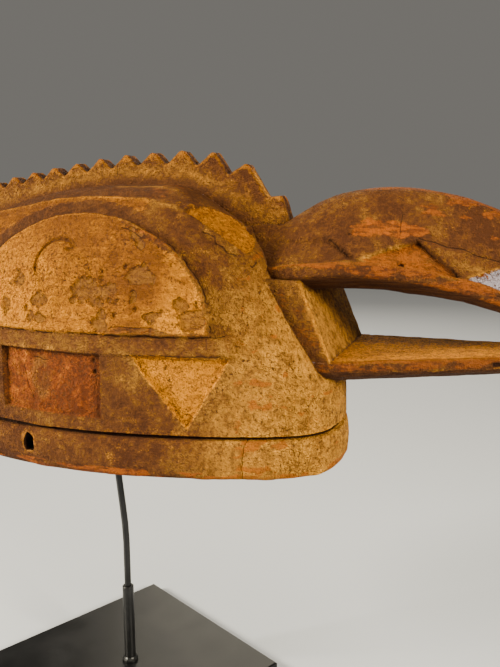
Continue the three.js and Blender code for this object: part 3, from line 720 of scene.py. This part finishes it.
def upperJawBody():
    x = between(beak["rootX"], beakTip["x"], np.linspace(0, 1, 250) ** 0.95)
    fade = np.sqrt(np.clip((beakTip["x"] - x) / 26, 0, 1))
    half = np.maximum(1.2, jawHalfWidth(x) * np.clip((beakTip["x"] - x) / 40 + 0.15, 0, 1))
    ridge = between(beakTip["z"] + 2, ridgeHeight(x), fade)
    edge = between(beakTip["z"] - 2, edgeHeight(x), fade)
    crown = np.minimum(between(beak["rootRidgeHalf"], beak["ridgeHalf"], ease(134, 172, x)), half * 0.45)
    thick = ridge - edge
    band = np.minimum(beak["band"], thick * 0.3)
    keel = np.minimum(np.minimum(beak["keel"], half * 0.3), thick * 0.4) * fade
    crease = edge + band + (thick - band) * 0.46
    bulge = np.linspace(0, 1, 9)[:, None]
    backY = between(crown * 0.75, np.maximum(half * 0.7, crown), bulge ** 0.85)
    backZ = between(ridge - thick * 0.012, crease, bulge ** 1.45)
    lowY = np.array([0.955, 0.99, 1, 1, 0.985, 0.93, 0.6, 0.2])[:, None] * half
    lowZ = np.stack([edge + band + 0.6, edge + band - 0.4, edge + band - 1.6, edge + 1.6, edge + 0.3,
                     edge - keel * 0.15, edge - keel * 0.75, edge - keel])
    rings = jawRings(x, np.vstack([crown * 0.2, backY, lowY]), np.vstack([ridge, backZ, lowZ]), 86)
    px, py, pz = np.moveaxis(rings, -1, 0)
    wide, halfHere, edgeHere, bandTop = np.abs(py), half[:, None], edge[:, None], (edge + band)[:, None]
    onFace = inside(pz - bandTop, 1.0) * inside(wide - halfHere * 0.5, 2)
    side = sideView(rings)
    wobble = 0.4 * softNoise(side, 9, 301) + 0.25 * softNoise(side, 4, 302)

    # Cut faces: each falls away to its right side, where it meets a steep wall. That wall is darkened as
    # painted shade and grime, and the left side of some faces is lightened as painted highlight and worn
    # paint.
    height, gaps, shade, shine = 0, [], 0, 0
    for face in jawFaces:
        corners = face["corners"]
        gap = polygonDistance(corners, px, pz) + wobble
        (rightX, rightZ), (topX, topZ) = corners[1], corners[2]
        length = math.hypot(rightX - topX, rightZ - topZ)
        rightGap = ((topX - rightX) * (pz - rightZ) - (topZ - rightZ) * (px - rightX)) / length
        onThis = inside(gap, 1.5) * onFace
        height = height - between(face["right"], face["left"], ease(0, 34, rightGap)) * onThis
        shade = shade + bell(rightGap - 0.6, 1.8) * inside(gap + 2.4, 1.5) * onFace
        leftWearAndHighlight = bell(gap + 0.4, 1) * inside(rightGap - 9, 4) * inside(pz - bandTop - 1, 2)
        shine = shine + leftWearAndHighlight * onFace * face["worn"]
        gaps.append(gap + far * (onFace - 1))
    onRough = inside(polygonDistance(roughFace, px, pz) + 2 * wobble, 2)
    height = height - 0.8 * onRough * onFace

    height = height + toolCuts(side * (0.6, 1, 1), 15, 311, 0.24, 0.0026)
    height = height + 0.16 * layeredNoise(side, 9, 2, 315)
    wander = softNoise(side, 9, 321)
    gapNoise = 5 * softNoise(side, 7, 323)
    rightSides = [polygonDistance(face["corners"], px, pz) for face in jawFaces[:2]]
    fromFace = far * (onFace - 0.5)
    # Fine cracks: two along the back, one upright, and one at the right side of each of the first two faces.
    seam, seamShare = nearestLine(
        (pz - 134.5 + (px - 256) * 0.31 - 1.4 * wander, px - 250, wide - 8, gapNoise + 4),
        (px + 0.79 * pz - 236.2 + 0.9 * wander, pz - 111, wide - 7, gapNoise + 4),
        (px - 238 - 0.6 * wander, pz - 137, 151 - pz, np.where(py < 0, far, -far)),
        (rightSides[0] + 0.5 * wander, px - 190, gapNoise, fromFace),
        (rightSides[1] + 0.6 * wander, px - 250, gapNoise + 1, fromFace),
    )
    cracks = spotDistance(jawPits, px, pz) + far * (onFace - 1)
    height = height - crackDepth(seam, seamShare) - 1.2 * inside(cracks + 0.4, 0.7)

    grain = layeredNoise(side * (0.22, 1, 1), 5, 3, 331)
    streak = inside(grain + 0.2, 0.5)
    onBand = inside(bandTop - pz, 1.5) * inside(pz - edgeHere + 1, 1.5)
    bandEdge = bell(pz - bandTop + 0.6, 1) * inside(wide - halfHere * 0.9, 2)
    wornPatch = inside(ellipseDistance(px, pz, *beak["wornSpot"]) + 3.5 * grain, 2)
    ahead = ease(238, 262, px) * inside(grain + 0.25 * wander - 0.12, 0.3) * (pz > 132)
    topWear = bell(pz - ridge[:, None], 2.2) * ease(190, 215, px)
    middleFace = inside(gaps[1], 2)
    plainSide = (1 - middleFace) * (1 - wornPatch) * (1 - onRough) * (1 - onBand)
    # The faces' right walls are dark as painted shade and grime, the band's top edge is lighter as painted
    # highlight and worn to bare wood, and the keel is dark as painted shade.
    marks = {
        "tone": 0.5 * onRough * onFace - 0.45 - 0.3 * ease(255, 300, px) - 0.5 * onBand,
        "seam": seam,
        "seamShare": seamShare,
        "pale": gaps[2],
        "bare": onBand * (0.25 + 0.5 * streak) + 0.5 * bandEdge + 0.65 * wornPatch + 0.8 * ahead
                + 0.7 * inside(gaps[1], 1.5) + 0.6 * topWear,
        "crack": cracks,
        "light": 0.9 * shine + 0.4 * bandEdge + 0.2 * middleFace,
        "soot": 0.8 * shade + 0.3 * plainSide + 0.3 * onBand,
        "hollowSide": inside(edgeHere - 1.2 - pz, 1.0),
    }
    return raisedObject("upperJaw", rings, height, marks)


def lowerJawBody():
    x = np.linspace(lowerJaw["rootX"], lowerJaw["tipX"], 190)
    close = np.sqrt(np.clip((lowerJaw["tipX"] - x) / 30, 0, 1))
    half = np.maximum(2, jawHalfWidth(x) * between(0.35, 1, close))
    top = lowerJaw["top"] + lowerJaw["climb"] * (x - throat["footX"])
    strip = lowerJaw["strip"] * between(0.5, 1, close)
    keel = lowerJaw["keel"] * (half / beak["halfWidth"]) ** 0.7 * between(0.4, 1, close)
    rows = [
        (half * 0.1, top), (half * 0.5, top), (half - 1.2, top), (half, top - 1.2), (half, top - strip),
        (half * 0.985, top - strip - 0.8), (half * 0.93, top - strip - keel * 0.35),
        (half * 0.6, top - strip - keel * 0.85), (half * 0.2, top - strip - keel),
    ]
    rings = jawRings(x, *np.stack(rows, 1), 60)
    py, pz = rings[..., 1], rings[..., 2]
    fromTop, fromStrip, fromSide = pz - top[:, None], pz - (top - strip)[:, None], np.abs(py) - half[:, None]
    grain = layeredNoise(rings * (0.2, 1, 1), 4, 3, 411)
    height = toolCuts(rings * (0.6, 1, 1), 13, 401, 0.26, 0.0035) + 0.16 * layeredNoise(rings, 7, 2, 405)
    onStrip = inside(fromSide + 0.05 * half[:, None], 1.5) * inside(fromStrip + 0.5, 1)
    pecks = 4 * softNoise(rings * (0.7, 1, 1), 4, 421) - 2.7 + far * (onStrip - 1)
    height = height - 1.2 * inside(pecks + 0.3, 0.8)
    upper = inside(fromTop + 1, 1)
    cornerLine = bell(fromTop + 0.5, 0.9) * inside(fromSide + 2, 1.5)
    # The top is ochre and made paler as painted light from above; the keel is dark as painted shade.
    marks = {
        "bare": onStrip * (0.3 + 0.4 * inside(grain + 0.2, 0.5)) + 0.6 * cornerLine,
        "soot": 0.6 * onStrip,
        "tone": 0.2 * upper - 0.9 * onStrip,
        "ochre": 2.5 * upper - 1.5,
        "light": 0.4 * cornerLine + 0.85 * upper,
        "crack": pecks,
        "hollowSide": inside(-fromStrip - 1.2, 1),
    }
    return raisedObject("lowerJaw", rings, height, marks)


# The block behind the mouth: level sections with rounded corners, whose front leans back as it rises.
def throatBlock():
    z = np.linspace(throat["footZ"] - 5, throat["topZ"], 46)
    slant = (throat["footX"] + 2 - throat["topX"]) / (throat["topZ"] - throat["footZ"] + 5)
    front = throat["topX"] + (throat["topZ"] - z) * slant
    back, width, corner = throat["backX"] + 0 * z, throat["halfWidth"], throat["corner"]
    cornerX = np.stack([back, back, front - corner, front - 0.4, front, front])
    cornerY = np.array([0, width, width, width - 0.4, width - corner, 0])[:, None] + 0 * cornerX
    x, y = evenSections(cornerX, cornerY, 100)
    x, y = np.concatenate([x, x[:, -2:0:-1]], 1), np.concatenate([y, -y[:, -2:0:-1]], 1)
    rings = np.stack([x, y, z[:, None] + 0 * x], -1)[:, ::-1]
    px, py, pz = np.moveaxis(rings, -1, 0)
    fromFront = px - front[:, None]
    onPlate = inside(fromFront + 1.5, 1.5)
    nearEdge = bell(fromFront + 0.8, 0.6) * inside(np.abs(py) - width + 2, 1.2)
    side = (1 - onPlate) * inside(px - 140, 8)
    height = toolCuts(rings * (1, 1, 0.7), 12, 501, 0.2, 0.003)
    height = height + (0.2 + 0.3 * side) * layeredNoise(rings, 7, 2, 505)
    # The plate is darker near its top as the upper jaw's painted shadow, and its near edge is lighter as a
    # painted highlight.
    marks = {
        "soot": 0.45 * side + 0.5 * onPlate * ease(96, 104, pz),
        "tone": 0.5 * side,
        "bare": 0.45 * side * inside(layeredNoise(rings, 9, 2, 511), 0.5),
        "light": 0.7 * onPlate + 0.5 * nearEdge,
    }
    return raisedObject("throat", rings, height, marks)


# The holes through the rim for the costume's cords: a long drill with a wavering round section.
def rimDrill():
    around = np.linspace(0, 2 * math.pi, 40, endpoint=False)
    y = np.linspace(-rim["drillReach"], rim["drillReach"], 61)[:, None]
    waver = 1 + 0.08 * np.sin(3 * around + y * 0.1) + 0.05 * np.sin(5 * around - y * 0.2)
    x = rim["holeX"] + rim["holeWidth"] / 2 * waver * np.sign(np.sin(around)) * np.abs(np.sin(around)) ** 0.8
    z = rim["holeZ"] + rim["holeHeight"] / 2 * waver * np.sign(np.cos(around)) * np.abs(np.cos(around)) ** 0.8
    # Its walls are painted dark as painted shade inside the holes.
    return skinObject("drill", np.stack([x, y + 0 * x, z + 0 * y], -1), {"hollowSide": 1, "crack": far})


# How sharply the surface turns at each point, smoothed over its neighbours: above 0 on edges, below in folds.
def turning(mesh, rounds):
    count = len(mesh.vertices)
    places, normals = np.zeros(count * 3, np.float32), np.zeros(count * 3, np.float32)
    mesh.vertices.foreach_get("co", places)
    mesh.vertex_normals.foreach_get("vector", normals)
    places, normals = places.reshape(-1, 3).astype(float) * 1000, normals.reshape(-1, 3).astype(float)
    ends = np.zeros(len(mesh.edges) * 2, np.int32)
    mesh.edges.foreach_get("vertices", ends)
    a, b = ends.reshape(-1, 2).T
    step = places[b] - places[a]
    length = np.linalg.norm(step, axis=1) + 1e-6
    bend = ((normals[b] - normals[a]) * step).sum(1) / length
    total = np.bincount(a, bend, count) + np.bincount(b, bend, count)
    share = np.maximum(np.bincount(a, minlength=count) + np.bincount(b, minlength=count), 1)
    value = total / share
    for _ in range(rounds):
        around = np.bincount(a, value[b], count) + np.bincount(b, value[a], count)
        value = 0.4 * value + 0.6 * around / share
    return value


# The finished mask: its most triangles, the angle in degrees from which an edge is sharp, and how many rounds
# smooth the marks for worn edges and for dirty folds.
maskFinish = {"triangles": 194000, "sharpFrom": 55, "rounds": {"edge": 2, "fold": 9}}


def carvedMask():
    piece = helmetBlock()
    print("helmet drawn", len(piece.data.vertices), "points")
    for part in (crestBody(), throatBlock(), upperJawBody(), lowerJawBody()):
        piece = combined(piece, part, "UNION")
    piece = combined(piece, hollowBody(), "DIFFERENCE")
    piece = combined(piece, rimDrill(), "DIFFERENCE")
    mesh = piece.data
    triangles = sum(len(p.vertices) - 2 for p in mesh.polygons)
    print("mask joined", triangles, "triangles")
    thin = piece.modifiers.new("thin", "DECIMATE")
    thin.ratio = min(1.0, maskFinish["triangles"] / triangles)
    thin.use_collapse_triangulate = True
    applyModifiers(piece)
    mesh = piece.data
    mesh.polygons.foreach_set("use_smooth", np.ones(len(mesh.polygons), bool))
    mesh.set_sharp_from_angle(angle=math.radians(maskFinish["sharpFrom"]))
    for name, rounds in maskFinish["rounds"].items():
        values = turning(mesh, rounds).astype(np.float32)
        mesh.attributes.new(name, "FLOAT", "POINT").data.foreach_set("value", values)
    print("mask finished", len(mesh.polygons), "triangles")
    return piece


# A socket's value in shader maths: each operator adds the node that works it out.
class Signal:
    def __init__(self, tree, socket):
        self.tree, self.socket = tree, socket

    def math(self, operation, *others):
        node = self.tree.nodes.new("ShaderNodeMath")
        node.operation = operation
        for place, value in enumerate((self, *others)):
            if isinstance(value, Signal):
                self.tree.links.new(value.socket, node.inputs[place])
            else:
                node.inputs[place].default_value = value
        return Signal(self.tree, node.outputs[0])

    def __add__(self, other):
        return self.math("ADD", other)

    def __sub__(self, other):
        return self.math("SUBTRACT", other)

    def __mul__(self, other):
        return self.math("MULTIPLY", other)

    def __truediv__(self, other):
        return self.math("DIVIDE", other)

    def __rsub__(self, other):
        return (self * -1.0) + other

    __radd__ = __add__
    __rmul__ = __mul__

    def clamped(self):
        return self.math("MAXIMUM", 0.0).math("MINIMUM", 1.0)

    # 0 below low, 1 above high, a smooth step between.
    def step(self, low, high):
        t = ((self - low) / (high - low)).clamped()
        return t * t * (3.0 - 2.0 * t)

    def largest(self, other):
        return self.math("MAXIMUM", other)


# One material's node tree, with a method that adds any node from its settings and its inputs' values.
class Finish:
    def __init__(self, name):
        self.material = bpy.data.materials.new(name)
        self.material.use_nodes = True
        self.tree = self.material.node_tree
        self.shader = self.tree.nodes["Principled BSDF"]

    def node(self, kind, settings=None, inputs=None, output=0):
        made = self.tree.nodes.new(kind)
        for key, value in (settings or {}).items():
            if key == "stops":
                for element, (position, colour) in zip(self.stopsOf(made, len(value)), value):
                    element.position, element.color = position, (*colour, 1.0)
            else:
                setattr(made, key, value)
        for key, value in (inputs or {}).items():
            if isinstance(value, Signal):
                self.tree.links.new(value.socket, made.inputs[key])
            else:
                made.inputs[key].default_value = value
        return Signal(self.tree, made.outputs[output])

    def stopsOf(self, ramp, count):
        while len(ramp.color_ramp.elements) < count:
            ramp.color_ramp.elements.new(0.5)
        return ramp.color_ramp.elements

    # The place on the piece in millimetres, stretched by a scale for each axis.
    def place(self, scale=(1, 1, 1)):
        spot = self.node("ShaderNodeTexCoord", output="Object")
        stretch = tuple(1000 * s for s in scale)
        return self.node("ShaderNodeVectorMath", {"operation": "MULTIPLY"}, {0: spot, 1: stretch})

    def noise(self, size, detail=3.0, roughness=0.55, scale=(1, 1, 1), shift=0.0):
        spot = self.place(scale)
        if shift:
            spot = self.node("ShaderNodeVectorMath", {"operation": "ADD"}, {0: spot, 1: (shift,) * 3})
        return self.node("ShaderNodeTexNoise", {"noise_dimensions": "3D"},
                         {"Vector": spot, "Scale": 1.0 / size, "Detail": detail, "Roughness": roughness})

    def cracks(self, size):
        return self.node("ShaderNodeTexVoronoi", {"feature": "DISTANCE_TO_EDGE"},
                         {"Vector": self.place(), "Scale": 1.0 / size})

    def mark(self, name):
        return self.node("ShaderNodeAttribute", {"attribute_name": name}, output="Fac")

    def mix(self, share, first, second):
        sockets = {0: share, 6: self.colour(first), 7: self.colour(second)}
        return self.node("ShaderNodeMix", {"data_type": "RGBA"}, sockets, 2)

    # One colour turning into another as a value climbs from low to high.
    def turn(self, value, low, high, first, second):
        return self.mix(value.step(low, high), first, second)

    def colour(self, value):
        return value if isinstance(value, Signal) else (*value, 1.0)

    def ramp(self, value, stops):
        return self.node("ShaderNodeValToRGB", {"stops": stops}, {0: value})

    def join(self, name, value):
        if isinstance(value, Signal):
            self.tree.links.new(value.socket, self.shader.inputs[name])
        else:
            self.shader.inputs[name].default_value = value

    def bump(self, height, depth):
        return self.node("ShaderNodeBump", {}, {"Height": height, "Distance": depth, "Strength": 1.0})


# Linear colours of the paint, wood and dirt.
paint = {
    "fieldDark": (0.064, 0.02, 0.006), "field": (0.132, 0.046, 0.009), "fieldOlive": (0.208, 0.087, 0.013),
    "fieldTan": (0.41, 0.174, 0.018), "fieldPale": (1.0, 0.44, 0.04), "ochreDark": (0.18, 0.057, 0.007),
    "ochre": (0.33, 0.108, 0.005), "ochreBright": (0.6, 0.214, 0.004), "ochrePale": (1.0, 0.37, 0.003),
    "ochreGold": (0.74, 0.245, 0.002), "panelOlive": (0.2, 0.083, 0.016), "flaked": (0.22, 0.089, 0.012),
    "flakedDark": (0.145, 0.054, 0.009), "redDeep": (0.098, 0.023, 0.005), "red": (0.265, 0.06, 0.006),
    "redPale": (0.45, 0.13, 0.01), "orangeDeep": (0.145, 0.035, 0.005), "orange": (0.33, 0.079, 0.004),
    "white": (0.48, 0.44, 0.52), "grimeAndShade": (0.055, 0.019, 0.006), "grimeWarm": (0.106, 0.036, 0.009),
    "soot": (0.018, 0.007, 0.004), "insideDark": (0.042, 0.014, 0.006), "inside": (0.094, 0.034, 0.01),
}


# Old earth paint on carved wood: mottled colours for each field, worn edges, grime in folds and open cracks,
# and the painted light and shade that the marks carry.
def paintedWood():
    f = Finish("paintedWood")
    light, ochreGap, soot, shade = f.mark("light"), f.mark("ochre"), f.mark("soot"), f.mark("tone")
    broad, middle = f.noise(32, 4), f.noise(8, 6, 0.65, shift=31)
    fine, dust = f.noise(2.8, 5, 0.65, shift=57), f.noise(1.1, 4, 0.6, shift=91)
    grain = f.noise(2.4, 4, scale=(0.1, 1, 1), shift=11)
    brush = f.noise(4, 4, 0.6, scale=(0.3, 1, 1.2), shift=23)
    ragged = (fine - 0.5) * 3.0 + (dust - 0.5) * 2.0

    # The bare field: brown wood with a thin, worn wash.
    field = f.ramp(broad * 0.35 + middle * 0.35 + fine * 0.2 + dust * 0.1 + shade * 0.055, [
        (0.42, paint["fieldDark"]), (0.49, paint["field"]),
        (0.55, paint["fieldOlive"]), (0.64, paint["fieldTan"])])
    chips = ((middle * 0.5 + dust * 0.5) - (1 - light) * 0.035).step(0.56, 0.60)
    field = f.mix(chips * 0.45, field, paint["ochreBright"])
    crustLight = f.turn(fine * 0.4 + middle * 0.6, 0.41, 0.54, paint["fieldTan"], paint["fieldPale"])
    field = f.mix(light * 0.6, field, crustLight)

    # The painted fields: ochre, red and pale, each ending in a ragged line.
    ochre = f.ramp(broad * 0.25 + middle * 0.25 + fine * 0.2 + brush * 0.2 + dust * 0.1 + shade * 0.075, [
        (0.42, paint["ochreDark"]), (0.49, paint["ochre"]),
        (0.56, paint["ochreBright"]), (0.66, paint["ochrePale"])])
    pale = f.ramp(dust * 0.4 + fine * 0.35 + middle * 0.25, [
        (0.43, paint["ochre"]), (0.48, paint["ochreGold"]), (0.52, paint["ochrePale"])])
    ochre = f.mix(light * (0.5 + fine * 0.5).clamped(), ochre, pale)
    red = f.ramp(middle * 0.5 + fine * 0.35 + dust * 0.15 + shade * 0.08, [
        (0.40, paint["redDeep"]), (0.51, paint["red"]), (0.62, paint["redPale"])])
    red = f.mix((light * middle.step(0.36, 0.50) * 1.5).clamped() * 0.8, red, paint["panelOlive"])
    blotch = f.noise(14, 3, 0.6, shift=67).step(0.47, 0.56)
    red = f.mix(blotch * 0.55, red, paint["redDeep"])
    orangeShare = ((grain * 0.65 + fine * 0.35).step(0.43, 0.56) + light * 0.5).clamped()
    orange = f.mix(orangeShare, paint["orangeDeep"], paint["orange"])
    colour = f.turn(ochreGap + ragged, -0.5, 0.5, field, ochre)
    colour = f.turn(f.mark("red") + ragged * 0.5, -0.4, 0.4, colour, red)
    spotted = f.turn(middle, 0.55, 0.60, paint["white"], paint["orange"])
    colour = f.turn(f.mark("pale") + ragged * 1.5, -0.6, 0.6, colour, spotted)

    # Flaked patches: duller wood with a thin dark edge that comes and goes, a painted shadow of the paint's
    # edge.
    flakeLine = f.mark("flake") + ragged * 0.5
    flake = flakeLine.step(-0.3, 0.3)
    flaked = f.turn(brush * 0.5 + fine * 0.5, 0.44, 0.57, paint["flakedDark"], paint["flaked"])
    colour = f.mix(flake * 0.85, colour, flaked)
    flakeEdgeShade = (1 - (flakeLine + 0.3).math("ABSOLUTE").step(0.2, 0.8)) * middle.step(0.42, 0.52)
    colour = f.mix(flakeEdgeShade * 0.7, colour, paint["grimeAndShade"])

    # Small dark pits, light crumbs and curled wrinkles in the crust.
    speckle, curl = f.noise(2.0, 2, shift=71), f.noise(6.5, 2, 0.6, shift=83)
    pits, crumbs = 1 - speckle.step(0.345, 0.395), speckle.step(0.62, 0.67)
    wrinkles = (1 - (curl - 0.5).math("ABSOLUTE").step(0.008, 0.035)) * broad.step(0.44, 0.52)
    colour = f.mix(crumbs * (0.04 + light * 0.45), colour, pale)
    colour = f.mix((pits * 0.8 + wrinkles * 0.6).clamped(), colour, paint["grimeWarm"])

    # Bare wood, and edges rubbed bright.
    bare = (f.mark("bare") + (grain - 0.5) * 0.8 + (fine - 0.5) * 0.6).step(0.35, 0.7)
    colour = f.mix(bare * 0.9, colour, f.mix(light * 0.3, orange, paint["ochreBright"]))
    rubbed = (f.mark("edge") * 3.0 + (fine - 0.5) * 1.6).step(0.45, 1.0)
    worn = f.mix(light, paint["ochreBright"], paint["ochrePale"])
    colour = f.mix(rubbed * 0.4, colour, f.mix(bare, worn, paint["orange"]))

    # Grime and painted shade from the marks, grime in the folds and pores, dark unpainted wood and open
    # cracks.
    dirtAndShade = (soot * 0.95 + (middle - 0.5) * 0.6 * soot).clamped()
    grimeAndShade = f.turn(fine * 0.5 + middle * 0.5, 0.44, 0.58, paint["grimeAndShade"], paint["grimeWarm"])
    colour = f.mix(dirtAndShade * 0.85, colour, grimeAndShade)
    onOchre = ochreGap.step(0.0, 1.0)
    fold = (f.mark("fold") * -4.5).clamped() * (1 - onOchre * 0.5) * (1 - light * 0.8)
    colour = f.mix(fold * 0.7, colour, paint["grimeAndShade"])
    pores = (1 - dust.step(0.36, 0.43)) * 0.6 + (1 - f.noise(5, 4, 0.65, shift=5).step(0.30, 0.36)) * 0.5
    colour = f.mix((pores * 0.5).clamped(), colour, paint["grimeAndShade"])
    # Dark unpainted wood; on the jaws' keels it is painted shade.
    darkWoodAndShadeColour = f.turn(grain, 0.35, 0.65, paint["insideDark"], paint["inside"])
    colour = f.turn(f.mark("hollowSide"), 0.4, 0.6, colour, darkWoodAndShadeColour)
    # Open cracks and gaps painted dark; inside the rim's holes this dark is painted shade.
    gap = (f.mark("crack") + ragged * 0.25).step(-0.25, 0.25)
    seam = (0.32 + ragged * 0.15 - (f.mark("seam") + ragged * 0.35).math("ABSOLUTE")).step(-0.2, 0.25)
    dark = gap.largest(seam * f.mark("seamShare").step(0.2, 0.6) * 0.8)
    colour = f.mix(dark * 0.92, colour, paint["soot"])

    # The crust's relief is about zero on average, so the paint's border makes no step.
    crust = fine * 0.7 + dust * 0.45 + middle * 0.45 + grain * 0.2 + (brush - 0.5).math("ABSOLUTE") * 0.5
    crust = crust + f.cracks(3.4).math("MINIMUM", 0.22) * middle.step(0.42, 0.58) * 1.3
    crust = crust + crumbs * 0.18 - pits * 0.22 - wrinkles * 0.16
    thick = onOchre * (0.8 + light) + light * 0.5
    crust = (crust - 1.05) * (1 + thick)
    relief = crust * (1 - flake * 0.5) - flake * 0.5 - pores * 0.12 - dark * 0.4
    f.join("Base Color", colour)
    f.join("Roughness", (0.80 + (fine - 0.5) * 0.5 - bare * 0.12 - flake * 0.12).clamped())
    f.join("Normal", f.bump(relief, 0.0038))
    f.join("Specular IOR Level", 0.08)
    return f.material


# Black metal with faint smears.
def blackMetal(metal):
    f = Finish(metal["name"])
    smear = f.noise(metal["smear"], 4)
    brighter = tuple(1.8 * c for c in metal["colour"])
    f.join("Base Color", f.turn(smear, 0.35, 0.75, metal["colour"], brighter))
    f.join("Roughness", smear * 0.25 + (metal["roughness"] - 0.12))
    f.join("Normal", f.bump(f.noise(0.8, 2), 0.00004))
    f.join("Metallic", 0.6)
    return f.material


def dress(piece, material):
    piece.data.materials.clear()
    piece.data.materials.append(material)


mask = carvedMask()
dress(mask, paintedWood())
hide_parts("mask")
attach(mask, "root")

# The stand's pieces and their metals, with smears of a size in millimetres.
standMetals = {
    "cradle_rod": {"name": "blackSteel", "colour": (0.012, 0.012, 0.013), "roughness": 0.42, "smear": 12},
    "socket_tube": {"name": "blackTube", "colour": (0.014, 0.014, 0.015), "roughness": 0.36, "smear": 9},
    "base_plate": {"name": "blackPlate", "colour": (0.008, 0.008, 0.009), "roughness": 0.32, "smear": 30},
}
for node, metal in standMetals.items():
    dress(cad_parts[node], blackMetal(metal))
print("mask and stand dressed")

studioAim = (0.1, 0, 0.34)
warmSide, warmTop = (1.0, 0.92, 0.71), (1.0, 0.91, 0.71)
studioLights = [
    {"name": "keyLeft", "place": (-1.25, -0.80, 0.82), "size": 0.4, "power": 82, "tint": warmSide},
    {"name": "keyRight", "place": (1.50, -0.62, 0.90), "size": 0.4, "power": 55, "tint": warmSide},
    {"name": "above", "place": (0.3, -0.5, 1.7), "size": 1.0, "power": 19, "tint": warmTop},
    {"name": "behind", "place": (-0.3, 1.6, 1.2), "size": 1.2, "power": 17, "tint": warmTop},
]


# Studio: a pale floor and soft warm light from both sides of the camera.
def makeStudio():
    mesh = bpy.data.meshes.new("floor")
    mesh.from_pydata([(-6, -6, 0), (6, -6, 0), (6, 6, 0), (-6, 6, 0)], [], [(0, 1, 2, 3)])
    floor = bpy.data.objects.new("floor", mesh)
    bpy.context.scene.collection.objects.link(floor)
    f = Finish("paleFloor")
    f.join("Base Color", f.mix(f.noise(400, 2), (0.50, 0.52, 0.57), (0.53, 0.55, 0.60)))
    f.join("Roughness", 0.8)
    mesh.materials.append(f.material)
    for light in studioLights:
        data = bpy.data.lights.new(light["name"], "AREA")
        data.size, data.energy, data.color = light["size"], light["power"], light["tint"]
        lamp = bpy.data.objects.new(light["name"], data)
        lamp.location = light["place"]
        towards = np.array(studioAim) - np.array(light["place"])
        flat = math.hypot(towards[0], towards[1])
        lamp.rotation_euler = (math.atan2(flat, -towards[2]), 0, math.atan2(-towards[0], towards[1]))
        bpy.context.scene.collection.objects.link(lamp)
    world = bpy.data.worlds.new("studio")
    world.use_nodes = True
    world.node_tree.nodes["Background"].inputs["Color"].default_value = (0.96, 0.92, 0.84, 1)
    world.node_tree.nodes["Background"].inputs["Strength"].default_value = 0.18
    bpy.context.scene.world = world


makeStudio()
print("studio set")
